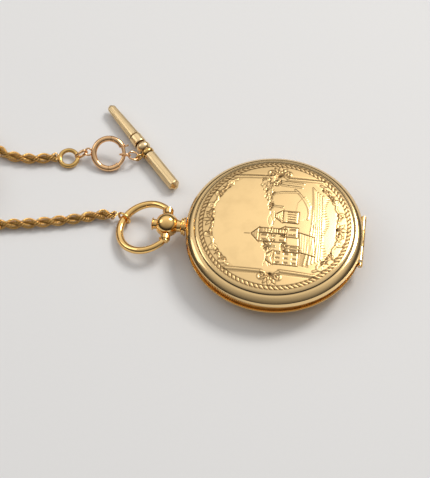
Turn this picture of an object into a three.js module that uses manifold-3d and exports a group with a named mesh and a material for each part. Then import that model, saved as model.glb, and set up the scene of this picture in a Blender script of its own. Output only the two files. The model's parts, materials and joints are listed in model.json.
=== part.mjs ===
// A key-wound hunting-case pocket watch with its rope chain, in millimetres, +Z up.
// The watch lies on its back: the origin is on the case axis at the resting face, the pendant points
// to -X, the lid hinges are at +X and the dial faces +Z, under the closed front lid.
import * as THREE from "three";
import { mergeVertices } from "three/addons/utils/BufferGeometryUtils.js";
import Module from "manifold-3d";

const wasm = await Module();
wasm.setup();

// ---- Driving dimensions of the case. Heights named _H are measured from the case's mid-plane.
const RIM_R = 23.9; // outer radius of both lids' rims
const BAND_R = 23.3; // reeded band of the case middle
const SLEEVE_R = 21.8; // sleeve that the bezel and the dust cover snap on
const BORE_R = 20; // bore that holds the movement
const HALF_H = 6; // half the thickness of the closed case
const BAND_H = 1.4; // half the height of the reeded band
const SLEEVE_H = 2; // half the length of the sleeve
const RIM_H = 1.95; // top of a lid's upright rim
const STEP_H = 3.35; // foot of the narrow ring round a lid's panel
const STEP_IN = 2.1; // how far that foot lies inside the rim
const PANEL_H = 4.2; // edge of a lid's panel
const PANEL_IN = 3.3; // how far the panel's edge lies inside the rim
const LID_WALL = 0.5;
const REST_R = 12; // flat disc of the back lid that the watch lies on
const SEAT_GAP = 0.1; // between pieces that snap or drop into each other
const LOOSE_GAP = 0.2; // round pieces that swing past each other
const PIVOT_GAP = 0.06; // round a pivot in its hole

// ---- Hinges
const KNUCKLE_R = 0.75;
const HINGE_PIN_R = 0.32;
const HINGE_HALF = 7.2; // half the length of each hinge
const CENTRE_KNUCKLE_HALF = 2.4;
const HINGE_H = BAND_H - 0.15;
const HINGE_X = BAND_R + 0.25;

// ---- Pendant, push piece and bow
const BALL_R = 3.25;
const BALL_X = -(BAND_R + 5.9);
const NECK_R = 1.6;
const COLLAR_R = 2.4;
const TENON_R = BAND_H - 0.15;
const PUSH_R = 0.85;
const PUSH_HEAD_R = 1.7;
const PUSH_HEAD_LENGTH = 0.7;
const PUSH_TRAVEL = 0.8;
const BOW_R = 7.6; // centre line of the bow's ring
const BOW_OFFSET = 6.1; // from the bow's pivots to the ring's centre
const BOW_WIRE_R = 1.05; // at the far end
const BOW_END_WIRE_R = 0.8; // at the eyes
const BOW_EYE_R = 1.35;
const BOW_EYE_LENGTH = 1.7;
const BOW_DROOP = THREE.MathUtils.degToRad(18.6); // it rests on the chain's end ring
const SCREW_HEAD_R = 1;
const SCREW_HEAD_LENGTH = 0.5;
const SCREW_SHANK_R = 0.6;
const SCREW_DEPTH = 1.2;

// ---- Movement. Heights named _Z are measured from the resting face.
const PLATE_Z = [HALF_H - 0.6, HALF_H + 1];
const BRIDGE_Z = [HALF_H - 3, HALF_H - 2.15];
const PLATE_FLANGE_R = BORE_R + 0.4;
const FLANGE_Z = HALF_H + 0.2;
const MOTION_RECESS_R = 8.5;
const MOTION_FLOOR_Z = HALF_H + 0.25;
const DIAL_Z = [HALF_H + 1.05, HALF_H + 1.5];
const BRIDGE_R = 17.8;
const FOOT_R = 1.25;
const BARREL_TEETH = 80;
const CENTRE_PINION = 10;
const CENTRE_TEETH = 64;
const THIRD_TEETH = 60;
const FOURTH_TEETH = 60;
const PINION = 8;
const ESCAPE_PINION = 6;
const BARREL_MODULE = 0.22;
const TRAIN_MODULE = 0.2;
const CANNON_TEETH = 12;
const MINUTE_TEETH = 36;
const MINUTE_PINION = 10;
const HOUR_TEETH = 40;
const MOTION_MODULE = 0.19;
const FOURTH_Y = 9.5;
const ESCAPE_R = 3.2;
const BALANCE_R = 5.5;
const HAIRSPRING_R = 2.9;
const ARBOR_R = 0.3;

// ---- Chain and its fittings
const ROPE_R = 1.55;
const END_RING_R = 1.78;
const END_RING_WIRE = 0.36;
const COIL_INNER_R = 14;
const COIL_OUTER_R = 20.8;
const COIL_HEIGHT = 6.5;
const JUMP_R = 2.45;
const JUMP_WIRE = 0.62;
const CLASP_R = 4.2;
const CLASP_TUBE = 0.85;
const CLASP_BORE = 0.58;
const GATE_WIRE = 0.46;
const LINK_WIRE = 0.26;
const BAR_LENGTH = 34.5;
const BAR_R = 1.65;
const BAR_NECK_R = 1.25;
const BAR_BEAD_R = 2;
const BAR_COLLAR_AT = 2.7; // from the bar's middle towards its near end
const BAR_COLLAR_R = 1.85;
const BAR_COLLAR_HALF = 0.8;

// ---- Places
const COIL_CENTRE = [-99, 9.5];
const JUMP_CENTRE = [-59.4, 22.7, 1.3];
const JUMP_TILT = THREE.MathUtils.degToRad(10);
const CLASP_CENTRE = [-48.3, 24.2, 3.0];
const CLASP_TILT = THREE.MathUtils.degToRad(30);
const BAR_MIDDLE = [-39.45, 28.35, BAR_BEAD_R];
const BAR_TURN = Math.atan2(-26.5, 22.1);

const { PI } = Math;
const SEGMENTS = 44;

// ---- Materials
const metal = (color, roughness = 0.25) =>
  new THREE.MeshStandardMaterial({ color, roughness, metalness: 1 });
const GOLD = 0xe8c47c;
const ROSE_GOLD = 0xd9a07a;
const GILT = 0xcfa65a;
const STEEL = 0xb9bcc0;
const BLUED = 0x2a3c86;
const enamel = () => new THREE.MeshStandardMaterial({ color: 0xf4f2ea, roughness: 0.2, metalness: 0 });
const clearGlass = () =>
  new THREE.MeshStandardMaterial({ color: 0xeef4f6, roughness: 0.05, metalness: 0, opacity: 0.35 });

// ---- Geometry helpers

// A closed profile of [radius, height] points turned about Z; a profile with a point on the axis
// starts and ends there, any other closes on itself.
function turned(points, segments = SEGMENTS) {
  const profile = points.map(([r, h]) => new THREE.Vector2(r, h));
  const open = profile.some((p) => p.x === 0);
  if (THREE.ShapeUtils.area(profile) < 0) profile.reverse();
  if (open) while (profile[0].x !== 0 || profile.at(-1).x !== 0) profile.push(profile.shift());
  else profile.push(profile[0].clone());
  return new THREE.LatheGeometry(profile, segments).rotateX(PI / 2);
}

// A disc or rod about Z between two heights.
function rod(r, z0, z1, segments = 12) {
  return new THREE.CylinderGeometry(r, r, z1 - z0, segments).rotateX(PI / 2).translate(0, 0, (z0 + z1) / 2);
}

// A flat shape raised between two heights.
function slab(shape, z0, z1, curveSegments = 12) {
  return new THREE.ExtrudeGeometry(shape, { depth: z1 - z0, bevelEnabled: false, curveSegments }).translate(
    0,
    0,
    z0,
  );
}

// A round wire, or a tube if it has a bore, along a curve.
function wire(curve, r, steps, sides = 8, bore = 0) {
  const section = new THREE.Shape(ringPoints(r, sides));
  if (bore) section.holes.push(new THREE.Path(ringPoints(bore, sides).reverse()));
  return new THREE.ExtrudeGeometry(section, { extrudePath: curve, steps, bevelEnabled: false });
}

// A closed ring of round wire in the XY plane.
const ring = (r, wireR, segments = 16, sides = 6) => new THREE.TorusGeometry(r, wireR, sides, segments);

function ringPoints(r, count, turn = 0) {
  return Array.from({ length: count }, (_, i) => {
    const a = turn + (2 * PI * i) / count;
    return new THREE.Vector2(r * Math.cos(a), r * Math.sin(a));
  });
}

function solid(geometry) {
  const g = geometry.clone();
  g.deleteAttribute("normal");
  g.deleteAttribute("uv");
  const merged = mergeVertices(g, 1e-4);
  return new wasm.Manifold(
    new wasm.Mesh({
      numProp: 3,
      vertProperties: merged.attributes.position.array,
      triVerts: new Uint32Array(merged.index.array),
    }),
  );
}

function geometryOf(made) {
  const { vertProperties, triVerts } = made.getMesh();
  return new THREE.BufferGeometry()
    .setAttribute("position", new THREE.BufferAttribute(vertProperties, 3))
    .setIndex(new THREE.BufferAttribute(triVerts, 1));
}

const join = (...geometries) =>
  geometryOf(geometries.map(solid).reduce((all, one) => all.add(one)));

const cut = (geometry, ...tools) =>
  geometryOf(tools.map(solid).reduce((left, tool) => left.subtract(tool), solid(geometry)));

// Points of an arc about the Z axis at one height.
function arcCurve(r, from, to, height = 0) {
  const points = Array.from({ length: 13 }, (_, i) => {
    const a = from + ((to - from) * i) / 12;
    return new THREE.Vector3(r * Math.cos(a), r * Math.sin(a), height);
  });
  return new THREE.CatmullRomCurve3(points);
}

// A sector of a flat ring between two radii and two angles.
function sectorShape(inner, outer, from, to) {
  const shape = new THREE.Shape();
  shape.absarc(0, 0, outer, from, to, false);
  shape.absarc(0, 0, inner, to, from, true);
  return shape;
}

const watch = new THREE.Group();

function add(name, geometry, material, parent = watch) {
  const mesh = new THREE.Mesh(geometry, material);
  mesh.name = name;
  parent.add(mesh);
  return mesh;
}

// ---- Case

// Outer line of a lid from its rim to the flat at its middle, as [radius, height above mid-plane].
function lidOutline(flatR, flatH) {
  const panelR = RIM_R - PANEL_IN;
  const crown = (t) => [
    panelR + (flatR - panelR) * t,
    PANEL_H + (flatH - PANEL_H) * (1 - (1 - t) ** 2) * 1,
  ];
  return [
    [RIM_R, BAND_H + SEAT_GAP],
    [RIM_R, RIM_H],
    [RIM_R - 0.45 * STEP_IN, RIM_H + 0.72 * (STEP_H - RIM_H)],
    [RIM_R - STEP_IN, STEP_H],
    [RIM_R - STEP_IN - 0.05, STEP_H + 0.3],
    [panelR, PANEL_H],
    crown(0.33),
    crown(0.66),
    crown(1),
    [0, flatH],
  ];
}

// The same line inside the wall, which clears what the lid closes over.
function lidInside(flatR, flatH) {
  const panelR = RIM_R - PANEL_IN;
  return [
    [0, flatH - LID_WALL],
    [flatR, flatH - LID_WALL],
    [panelR - 0.1, PANEL_H - LID_WALL],
    [RIM_R - STEP_IN - 0.35, STEP_H - 0.4],
    [RIM_R - LID_WALL - 0.05, RIM_H],
    [RIM_R - LID_WALL - 0.05, BAND_H + SEAT_GAP],
  ];
}

// A crescent-shaped lip for the thumbnail, on the rim in a given direction.
function thumbLip(direction, z0, z1) {
  const reach = 0.6;
  return rod(RIM_R, z0, z1, SEGMENTS).translate(
    reach * Math.cos(direction),
    reach * Math.sin(direction),
    0,
  );
}

// Knuckle barrels along Y on the hinge line of one lid; side is 1 for the front, -1 for the back.
const barrelAt = (r, y0, y1, side) =>
  rod(r, y0, y1, 12)
    .rotateX(-PI / 2)
    .translate(HINGE_X, 0, HALF_H + side * HINGE_H);

function lid(side, flatR, flatH, lipDirection) {
  const profile = [...lidOutline(flatR, flatH), ...lidInside(flatR, flatH)];
  const shell = turned(profile.map(([r, h]) => [r, HALF_H + side * h]));
  const lipH = [BAND_H + 2 * SEAT_GAP, RIM_H - SEAT_GAP].map((h) => HALF_H + side * h);
  const rimCore = rod(RIM_R - 0.3, HALF_H - 2 * RIM_H, HALF_H + 2 * RIM_H, SEGMENTS);
  const centreReach = CENTRE_KNUCKLE_HALF + LOOSE_GAP;
  const centreGap = barrelAt(KNUCKLE_R + LOOSE_GAP, -centreReach, centreReach, side);
  const lip = cut(thumbLip(lipDirection, Math.min(...lipH), Math.max(...lipH)), rimCore);
  const joined = join(
    shell,
    lip,
    barrelAt(KNUCKLE_R, CENTRE_KNUCKLE_HALF + LOOSE_GAP, HINGE_HALF, side),
    barrelAt(KNUCKLE_R, -HINGE_HALF, -CENTRE_KNUCKLE_HALF - LOOSE_GAP, side),
  );
  return cut(joined, centreGap, barrelAt(HINGE_PIN_R + PIVOT_GAP, -HINGE_HALF - 1, HINGE_HALF + 1, side));
}

// Pockets beside the movement for the two case springs, open towards the front.
const POCKET_R = [BORE_R + 0.45, BORE_R + 2.3];
const SPRING_R = [POCKET_R[1] - 0.75, POCKET_R[1] - 0.4];
const SPRING_Z = [HALF_H - 0.9, HALF_H + 0.9];
const SPRING_SPAN = 0.62;
const springPocket = (middle) =>
  slab(sectorShape(...POCKET_R, middle - 0.72, middle + 0.72), HALF_H - BAND_H + 0.3, HALF_H + 3, 10);

function caseMiddle() {
  const bandZ = [HALF_H - BAND_H, HALF_H + BAND_H];
  const profile = [
    [BORE_R, HALF_H - SLEEVE_H],
    [SLEEVE_R, HALF_H - SLEEVE_H],
    [SLEEVE_R, bandZ[0]],
    [BAND_R, bandZ[0]],
    [BAND_R, bandZ[1]],
    [SLEEVE_R, bandZ[1]],
    [SLEEVE_R, HALF_H + SLEEVE_H],
    [PLATE_FLANGE_R + SEAT_GAP, HALF_H + SLEEVE_H],
    [PLATE_FLANGE_R + SEAT_GAP, FLANGE_Z],
    [BORE_R, FLANGE_Z],
  ];
  const pushBore = rod(PUSH_R + SEAT_GAP, -BAND_R - 1, 1 - POCKET_R[0] - 1, 12)
    .rotateY(PI / 2)
    .translate(0, 0, HALF_H);
  const clearances = [1, -1].flatMap((side) => [
    barrelAt(KNUCKLE_R + LOOSE_GAP, CENTRE_KNUCKLE_HALF, HINGE_HALF + LOOSE_GAP, side),
    barrelAt(KNUCKLE_R + LOOSE_GAP, -HINGE_HALF - LOOSE_GAP, -CENTRE_KNUCKLE_HALF, side),
  ]);
  const body = cut(turned(profile), springPocket(PI), springPocket(0), pushBore, ...clearances);
  const knuckles = [1, -1].map((side) =>
    barrelAt(KNUCKLE_R, -CENTRE_KNUCKLE_HALF, CENTRE_KNUCKLE_HALF, side),
  );
  const pinBores = [1, -1].map((side) =>
    barrelAt(HINGE_PIN_R + PIVOT_GAP, -HINGE_HALF - 1, HINGE_HALF + 1, side),
  );
  return cut(join(body, ...knuckles), ...pinBores);
}

const BEZEL_IN = BORE_R - 1;
const CRYSTAL_R = BEZEL_IN + 0.6;
const CRYSTAL_H = HALF_H + 2.5;
const CRYSTAL_RISE = 0.8;
const CRYSTAL_WALL = 0.5;

function bezel() {
  const outer = RIM_R - 1.3;
  return turned([
    [BEZEL_IN, HALF_H + 1.62],
    [PLATE_FLANGE_R, HALF_H + 1.62],
    [PLATE_FLANGE_R, HALF_H + SLEEVE_H + 0.05],
    [SLEEVE_R + SEAT_GAP, HALF_H + SLEEVE_H + 0.05],
    [SLEEVE_R + SEAT_GAP, HALF_H + BAND_H + 0.05],
    [outer, HALF_H + BAND_H + 0.05],
    [outer, HALF_H + RIM_H],
    [SLEEVE_R - 0.5, HALF_H + 2.6],
    [CRYSTAL_R + 0.55, CRYSTAL_H + 0.55],
    [CRYSTAL_R + 0.05, CRYSTAL_H + 0.55],
    [CRYSTAL_R + 0.05, CRYSTAL_H],
    [BEZEL_IN, CRYSTAL_H],
  ]);
}

function crystal() {
  const dome = (t) => CRYSTAL_H + 0.02 + CRYSTAL_RISE * (1 - t * t);
  return turned(
    [
      [0, dome(0)],
      [BEZEL_IN * 0.6, dome(0.6)],
      [BEZEL_IN, dome(1)],
      [CRYSTAL_R, dome(1)],
      [CRYSTAL_R, dome(1) + CRYSTAL_WALL],
      [BEZEL_IN * 0.6, dome(0.6) + CRYSTAL_WALL],
      [0, dome(0) + CRYSTAL_WALL],
    ],
  );
}

// ---- Places of the train, in the plane of the movement
const barrelAway = (BARREL_MODULE * (BARREL_TEETH + CENTRE_PINION)) / 2;
const thirdAway = (TRAIN_MODULE * (CENTRE_TEETH + PINION)) / 2;
const fourthAway = (TRAIN_MODULE * (THIRD_TEETH + PINION)) / 2;
const escapeAway = (TRAIN_MODULE * (FOURTH_TEETH + ESCAPE_PINION)) / 2;
const minuteAway = (MOTION_MODULE * (CANNON_TEETH + MINUTE_TEETH)) / 2;
const along = ([x, y], away, angle) => [x + away * Math.cos(angle), y + away * Math.sin(angle)];
const direction = ([x0, y0], [x1, y1]) => Math.atan2(y1 - y0, x1 - x0);
const thirdSwing = Math.acos(
  (thirdAway ** 2 + FOURTH_Y ** 2 - fourthAway ** 2) / (2 * thirdAway * FOURTH_Y),
);
const CENTRE = [0, 0];
const BARREL = [0, -barrelAway];
const THIRD = along(CENTRE, thirdAway, PI / 2 - thirdSwing);
const FOURTH = [0, FOURTH_Y];
const ESCAPE = along(FOURTH, escapeAway, THREE.MathUtils.degToRad(197));
const BALANCE = [-12.3, -0.3];
const PALLET = along(ESCAPE, ESCAPE_R + 0.75, direction(ESCAPE, BALANCE));
const MINUTE = along(CENTRE, minuteAway, -PI / 3);
const CLICK = along(BARREL, 6.1, -0.3);
const KEY_HOLE_R = 1.6;

function dustCover() {
  const outer = RIM_R - 1.3;
  const profile = [
    [0, 4.6],
    [14, 4.1],
    [SLEEVE_R - 0.9, 2.95],
    [outer, RIM_H],
    [outer, BAND_H + 0.05],
    [SLEEVE_R + SEAT_GAP, BAND_H + 0.05],
    [SLEEVE_R + SEAT_GAP, SLEEVE_H + 0.12],
    [SLEEVE_R - 0.95, 2.58],
    [14, 3.75],
    [0, 4.25],
  ];
  const holes = [CENTRE, BARREL].map(([x, y]) => rod(KEY_HOLE_R, -1, HALF_H, 16).translate(x, y, 0));
  return cut(turned(profile.map(([r, h]) => [r, HALF_H - h])), ...holes);
}

// A curved leaf spring in its pocket, with a foot block that the case screw holds at one end.
function caseSpring(middle, nose) {
  const leaf = slab(sectorShape(...SPRING_R, middle - SPRING_SPAN, middle + 0.12), ...SPRING_Z, 8);
  const foot = slab(
    sectorShape(SPRING_R[0] - 0.5, SPRING_R[1], middle - SPRING_SPAN, middle - SPRING_SPAN + 0.1),
    ...SPRING_Z,
    1,
  );
  const tip = slab(sectorShape(...SPRING_R, middle - 0.06, middle + 0.06), SPRING_Z[0], HALF_H + nose, 1);
  return join(leaf, foot, tip);
}

function addCase() {
  add("case_middle", caseMiddle(), metal(GOLD));
  const lipDirection = THREE.MathUtils.degToRad(-64);
  add("front_cover", lid(1, 0.3 * RIM_R, HALF_H - 0.1, lipDirection), metal(GOLD));
  add("back_cover", lid(-1, REST_R, HALF_H, PI / 2), metal(GOLD));
  add("dust_cover", dustCover(), metal(GOLD));
  add("bezel", bezel(), metal(GOLD, 0.15));
  add("crystal", crystal(), clearGlass());
  add("front_hinge_pin", barrelAt(HINGE_PIN_R, -HINGE_HALF, HINGE_HALF, 1), metal(STEEL));
  add("back_hinge_pin", barrelAt(HINGE_PIN_R, -HINGE_HALF, HINGE_HALF, -1), metal(STEEL));
  add("lock_spring", caseSpring(PI, 1.3), metal(BLUED));
  add("lift_spring", caseSpring(0, 1.3), metal(BLUED));
}

// ---- Pendant, push piece and bow

function pendant() {
  const root = -BAND_R - 0.25;
  const foot = -RIM_R - LOOSE_GAP;
  const ballPoint = (a) => [BALL_R * Math.cos(a), BALL_X + BALL_R * Math.sin(a)];
  const neckMeets = Math.acos((NECK_R + 0.1) / BALL_R);
  const face = -Math.acos((PUSH_HEAD_R + 0.1) / BALL_R);
  const ballArc = [0.9, 0.55, 0.2, -0.15, -0.5, -0.8].map((a) => ballPoint(a));
  const profile = [
    [PUSH_R + SEAT_GAP, root],
    [TENON_R, root],
    [TENON_R, foot],
    [COLLAR_R + 0.2, foot],
    [COLLAR_R + 0.2, foot - 0.45],
    [COLLAR_R, foot - 0.6],
    [COLLAR_R - 0.1, foot - 1.2],
    [NECK_R, foot - 1.4],
    ballPoint(neckMeets),
    ...ballArc,
    ballPoint(face),
    [PUSH_R + SEAT_GAP, BALL_X + BALL_R * Math.sin(face)],
  ];
  const screwHoles = [1, -1].map((side) =>
    rod(SCREW_SHANK_R + SEAT_GAP, BALL_R - SCREW_DEPTH - SEAT_GAP, BALL_R + 1, 10)
      .rotateX((-side * PI) / 2)
      .translate(BALL_X, 0, 0),
  );
  return cut(turned(profile, 20).rotateY(PI / 2), ...screwHoles).translate(0, 0, HALF_H);
}

function pushPiece() {
  const headBack = BALL_X - BALL_R * Math.sin(Math.acos((PUSH_HEAD_R + 0.1) / BALL_R));
  const tip = -SPRING_R[1] - 0.12;
  return turned(
    [
      [0, headBack - PUSH_TRAVEL - PUSH_HEAD_LENGTH],
      [PUSH_HEAD_R - 0.2, headBack - PUSH_TRAVEL - PUSH_HEAD_LENGTH],
      [PUSH_HEAD_R, headBack - PUSH_TRAVEL - PUSH_HEAD_LENGTH + 0.2],
      [PUSH_HEAD_R, headBack - PUSH_TRAVEL - 0.05],
      [PUSH_R, headBack - PUSH_TRAVEL - 0.05],
      [PUSH_R, tip - 0.2],
      [PUSH_R - 0.2, tip],
      [0, tip],
    ],
    16,
  )
    .rotateY(PI / 2)
    .translate(0, 0, HALF_H);
}

// The bow lies along -X from its pivots at the group's origin: two eyes, tapering legs and the ring.
function bowGeometry() {
  const eyeY = BALL_R + SEAT_GAP;
  const gapAngle = Math.asin((eyeY + BOW_EYE_LENGTH / 2) / BOW_R);
  const points = [];
  for (let i = 0; i <= 16; i += 1) {
    const a = gapAngle + ((2 * PI - 2 * gapAngle) * i) / 16;
    points.push(new THREE.Vector3(-BOW_OFFSET + BOW_R * Math.cos(a), BOW_R * Math.sin(a), 0));
  }
  const start = new THREE.Vector3(0.3 - BOW_EYE_R, eyeY + BOW_EYE_LENGTH / 2, 0);
  const end = start.clone().setY(-start.y);
  const curve = new THREE.CatmullRomCurve3([start, ...points.slice(1, -1), end]);
  const geometry = wire(curve, 1, 26, 8);
  taper(geometry, curve);
  const eye = (y0, y1) => rod(BOW_EYE_R, y0, y1, 16).rotateX(-PI / 2);
  const hole = rod(SCREW_SHANK_R + SEAT_GAP, -20, 20, 12).rotateX(PI / 2);
  const joined = join(geometry, eye(eyeY, eyeY + BOW_EYE_LENGTH), eye(-eyeY - BOW_EYE_LENGTH, -eyeY));
  const headSeats = [1, -1].map((side) =>
    rod(SCREW_HEAD_R + SEAT_GAP, eyeY + BOW_EYE_LENGTH, 20).rotateX((-side * PI) / 2),
  );
  return cut(joined, hole, ...headSeats);
}

// Scales each section of a unit-radius wire: thin at both ends, full at the middle.
function taper(geometry, curve) {
  const position = geometry.attributes.position;
  const centres = curve.getSpacedPoints(200);
  const p = new THREE.Vector3();
  for (let i = 0; i < position.count; i += 1) {
    p.fromBufferAttribute(position, i);
    let best = 0;
    centres.forEach((c, k) => {
      if (c.distanceToSquared(p) < centres[best].distanceToSquared(p)) best = k;
    });
    const share = Math.sin((PI * best) / 200) ** 0.7;
    const r = BOW_END_WIRE_R + (BOW_WIRE_R - BOW_END_WIRE_R) * share;
    p.sub(centres[best]).setLength(r).add(centres[best]);
    position.setXYZ(i, p.x, p.y, p.z);
  }
}

function bowScrew(side) {
  const eyeY = BALL_R + SEAT_GAP;
  const head = eyeY + BOW_EYE_LENGTH + 0.05;
  const profile = [
    [0, BALL_R - SCREW_DEPTH],
    [SCREW_SHANK_R, BALL_R - SCREW_DEPTH],
    [SCREW_SHANK_R, head],
    [SCREW_HEAD_R, head],
    [SCREW_HEAD_R, head + SCREW_HEAD_LENGTH],
    [0, head + SCREW_HEAD_LENGTH],
  ];
  return turned(profile, 10)
    .rotateX((-side * PI) / 2)
    .translate(BALL_X, 0, HALF_H);
}

function addPendant() {
  add("pendant", pendant(), metal(GOLD, 0.2));
  add("push_piece", pushPiece(), metal(GOLD, 0.2));
  const bow = add("bow", bowGeometry(), metal(GOLD, 0.2));
  bow.position.set(BALL_X, 0, HALF_H);
  bow.rotation.y = -BOW_DROOP;
  add("bow_screw_left", bowScrew(1), metal(GOLD, 0.2));
  add("bow_screw_right", bowScrew(-1), metal(GOLD, 0.2));
}

// ---- Wheels

// A toothed outline with pointed teeth; one tooth points along the angle.
function gearShape(teeth, module, angle) {
  const pitch = (2 * PI) / teeth;
  const root = (module * teeth) / 2 - 0.95 * module;
  const tip = (module * teeth) / 2 + 0.5 * module;
  const at = (r, a) => new THREE.Vector2(r * Math.cos(a), r * Math.sin(a));
  const points = [];
  for (let i = 0; i < teeth; i += 1) {
    const a = angle + i * pitch;
    points.push(at(tip, a), at(root, a + pitch / 2));
  }
  return new THREE.Shape(points);
}

// Openings between the arms of a wheel.
function armWindows(shape, hub, rim, arms) {
  const half = PI / arms - 0.16;
  for (let i = 0; i < arms; i += 1) {
    const middle = (2 * PI * (i + 0.5)) / arms;
    const window = [];
    for (let k = 0; k <= 2; k += 1) {
      const a = middle - half + half * k;
      window.push(new THREE.Vector2(rim * Math.cos(a), rim * Math.sin(a)));
    }
    window.push(new THREE.Vector2(hub * Math.cos(middle + half / 2), hub * Math.sin(middle + half / 2)));
    window.push(new THREE.Vector2(hub * Math.cos(middle - half / 2), hub * Math.sin(middle - half / 2)));
    shape.holes.push(new THREE.Path(window));
  }
  return shape;
}

// One turning piece: an arbor, a wheel and a pinion, each between its own heights.
function wheelAndPinion(arborR, arborZ, wheel, pinion) {
  return join(rod(arborR, ...arborZ, 10), slab(wheel.shape, ...wheel.z), slab(pinion.shape, ...pinion.z));
}

const WHEEL = 0.15;
const Z = {
  centreWheel: HALF_H - 2.02,
  fourthWheel: HALF_H - 1.6,
  thirdWheel: HALF_H - 1.25,
  escapeWheel: HALF_H - 0.95,
  barrel: [HALF_H - 1.75, HALF_H - 0.72],
  barrelTeeth: [HALF_H - 1, HALF_H - 0.72],
  balance: [HALF_H - 1.65, HALF_H - 1.25],
};
const thick = (z) => [z, z + WHEEL];
const ABOVE_BRIDGE = BRIDGE_Z[0] - 0.05;
const halfPitch = (teeth) => PI / teeth;

function centreWheel() {
  const toThird = direction(CENTRE, THIRD);
  const toBarrel = direction(CENTRE, BARREL);
  return wheelAndPinion(
    0.5,
    [ABOVE_BRIDGE, HALF_H + 2.6],
    { shape: armWindows(gearShape(CENTRE_TEETH, TRAIN_MODULE, toThird), 1.4, 5.3, 4), z: thick(Z.centreWheel) },
    {
      shape: gearShape(CENTRE_PINION, BARREL_MODULE, toBarrel + halfPitch(CENTRE_PINION)),
      z: [Z.barrelTeeth[0] - 0.08, Z.barrelTeeth[1] + 0.05],
    },
  );
}

function thirdWheel() {
  return wheelAndPinion(
    ARBOR_R,
    [ABOVE_BRIDGE, PLATE_Z[0] + 0.6],
    {
      shape: armWindows(gearShape(THIRD_TEETH, TRAIN_MODULE, direction(THIRD, FOURTH)), 1.3, 4.9, 4),
      z: thick(Z.thirdWheel),
    },
    {
      shape: gearShape(PINION, TRAIN_MODULE, direction(THIRD, CENTRE) + halfPitch(PINION)),
      z: [Z.centreWheel - 0.06, Z.centreWheel + 0.25],
    },
  );
}

function fourthWheel() {
  return wheelAndPinion(
    ARBOR_R,
    [ABOVE_BRIDGE, DIAL_Z[1] + 0.35],
    {
      shape: armWindows(gearShape(FOURTH_TEETH, TRAIN_MODULE, direction(FOURTH, ESCAPE)), 1.3, 4.9, 4),
      z: thick(Z.fourthWheel),
    },
    {
      shape: gearShape(PINION, TRAIN_MODULE, direction(FOURTH, THIRD) + halfPitch(PINION)),
      z: [Z.thirdWheel - 0.06, Z.thirdWheel + 0.25],
    },
  );
}

function escapeWheel() {
  const teeth = 15;
  const shape = new THREE.Shape();
  for (let i = 0; i < teeth; i += 1) {
    const a = (2 * PI * i) / teeth;
    const at = (r, turn) => [r * Math.cos(a + turn), r * Math.sin(a + turn)];
    if (i === 0) shape.moveTo(...at(ESCAPE_R - 0.75, -0.12));
    else shape.lineTo(...at(ESCAPE_R - 0.75, -0.12));
    shape.lineTo(...at(ESCAPE_R, 0.02));
    shape.lineTo(...at(ESCAPE_R - 0.08, 0.1));
    shape.lineTo(...at(ESCAPE_R - 0.75, 0.1));
  }
  shape.closePath();
  return wheelAndPinion(
    ARBOR_R,
    [ABOVE_BRIDGE, PLATE_Z[0] + 0.6],
    { shape: armWindows(shape, 0.9, 2, 4), z: thick(Z.escapeWheel) },
    {
      shape: gearShape(ESCAPE_PINION, TRAIN_MODULE, direction(ESCAPE, FOURTH) + halfPitch(ESCAPE_PINION)),
      z: [Z.fourthWheel - 0.06, Z.fourthWheel + 0.25],
    },
  );
}

const BARREL_DRUM_R = (BARREL_MODULE * BARREL_TEETH) / 2 - 0.45;
const BARREL_WALL = 0.5;
const BARREL_ARBOR_R = 1;
const BARREL_CORE_R = 2;

// A drum open towards the bridge, where its cover closes it.
function barrel() {
  const floor = Z.barrelTeeth[1] - 0.25;
  const drum = turned([
    [BARREL_ARBOR_R + PIVOT_GAP, Z.barrelTeeth[1]],
    [BARREL_DRUM_R, Z.barrelTeeth[1]],
    [BARREL_DRUM_R, Z.barrel[0]],
    [BARREL_DRUM_R - BARREL_WALL, Z.barrel[0]],
    [BARREL_DRUM_R - BARREL_WALL, floor],
    [BARREL_ARBOR_R + PIVOT_GAP, floor],
  ], 24);
  const toothed = gearShape(BARREL_TEETH, BARREL_MODULE, direction(BARREL, CENTRE));
  toothed.holes.push(new THREE.Path(ringPoints(BARREL_DRUM_R - 0.25, 24)));
  return join(drum, slab(toothed, ...Z.barrelTeeth));
}

function barrelCover() {
  return turned([
    [BARREL_CORE_R - 0.6, Z.barrel[0] + 0.05],
    [BARREL_DRUM_R - BARREL_WALL - 0.05, Z.barrel[0] + 0.05],
    [BARREL_DRUM_R - BARREL_WALL - 0.05, Z.barrel[0] + 0.22],
    [BARREL_CORE_R - 0.6, Z.barrel[0] + 0.22],
  ], 24);
}

// A flat strip wound from an inner to an outer radius.
function spiralStrip(inner, outer, turns, width, z, perTurn) {
  const count = Math.round(turns * perTurn);
  const line = (offset) =>
    Array.from({ length: count + 1 }, (_, i) => {
      const r = inner + ((outer - inner) * i) / count + offset;
      const a = (2 * PI * turns * i) / count;
      return new THREE.Vector2(r * Math.cos(a), r * Math.sin(a));
    });
  return slab(new THREE.Shape([...line(width / 2), ...line(-width / 2).reverse()]), ...z);
}

function barrelArbor() {
  return join(
    rod(BARREL_ARBOR_R, Z.barrel[0], PLATE_Z[0] + 0.8, 12),
    rod(BARREL_CORE_R, Z.barrel[0] + 0.3, Z.barrelTeeth[1] - 0.32, 12),
    rod(BARREL_ARBOR_R, BRIDGE_Z[0] - 0.5, Z.barrel[0] + 0.1, 12),
    rod(0.75, BRIDGE_Z[0] - 0.95, BRIDGE_Z[0], 4),
  );
}

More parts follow.
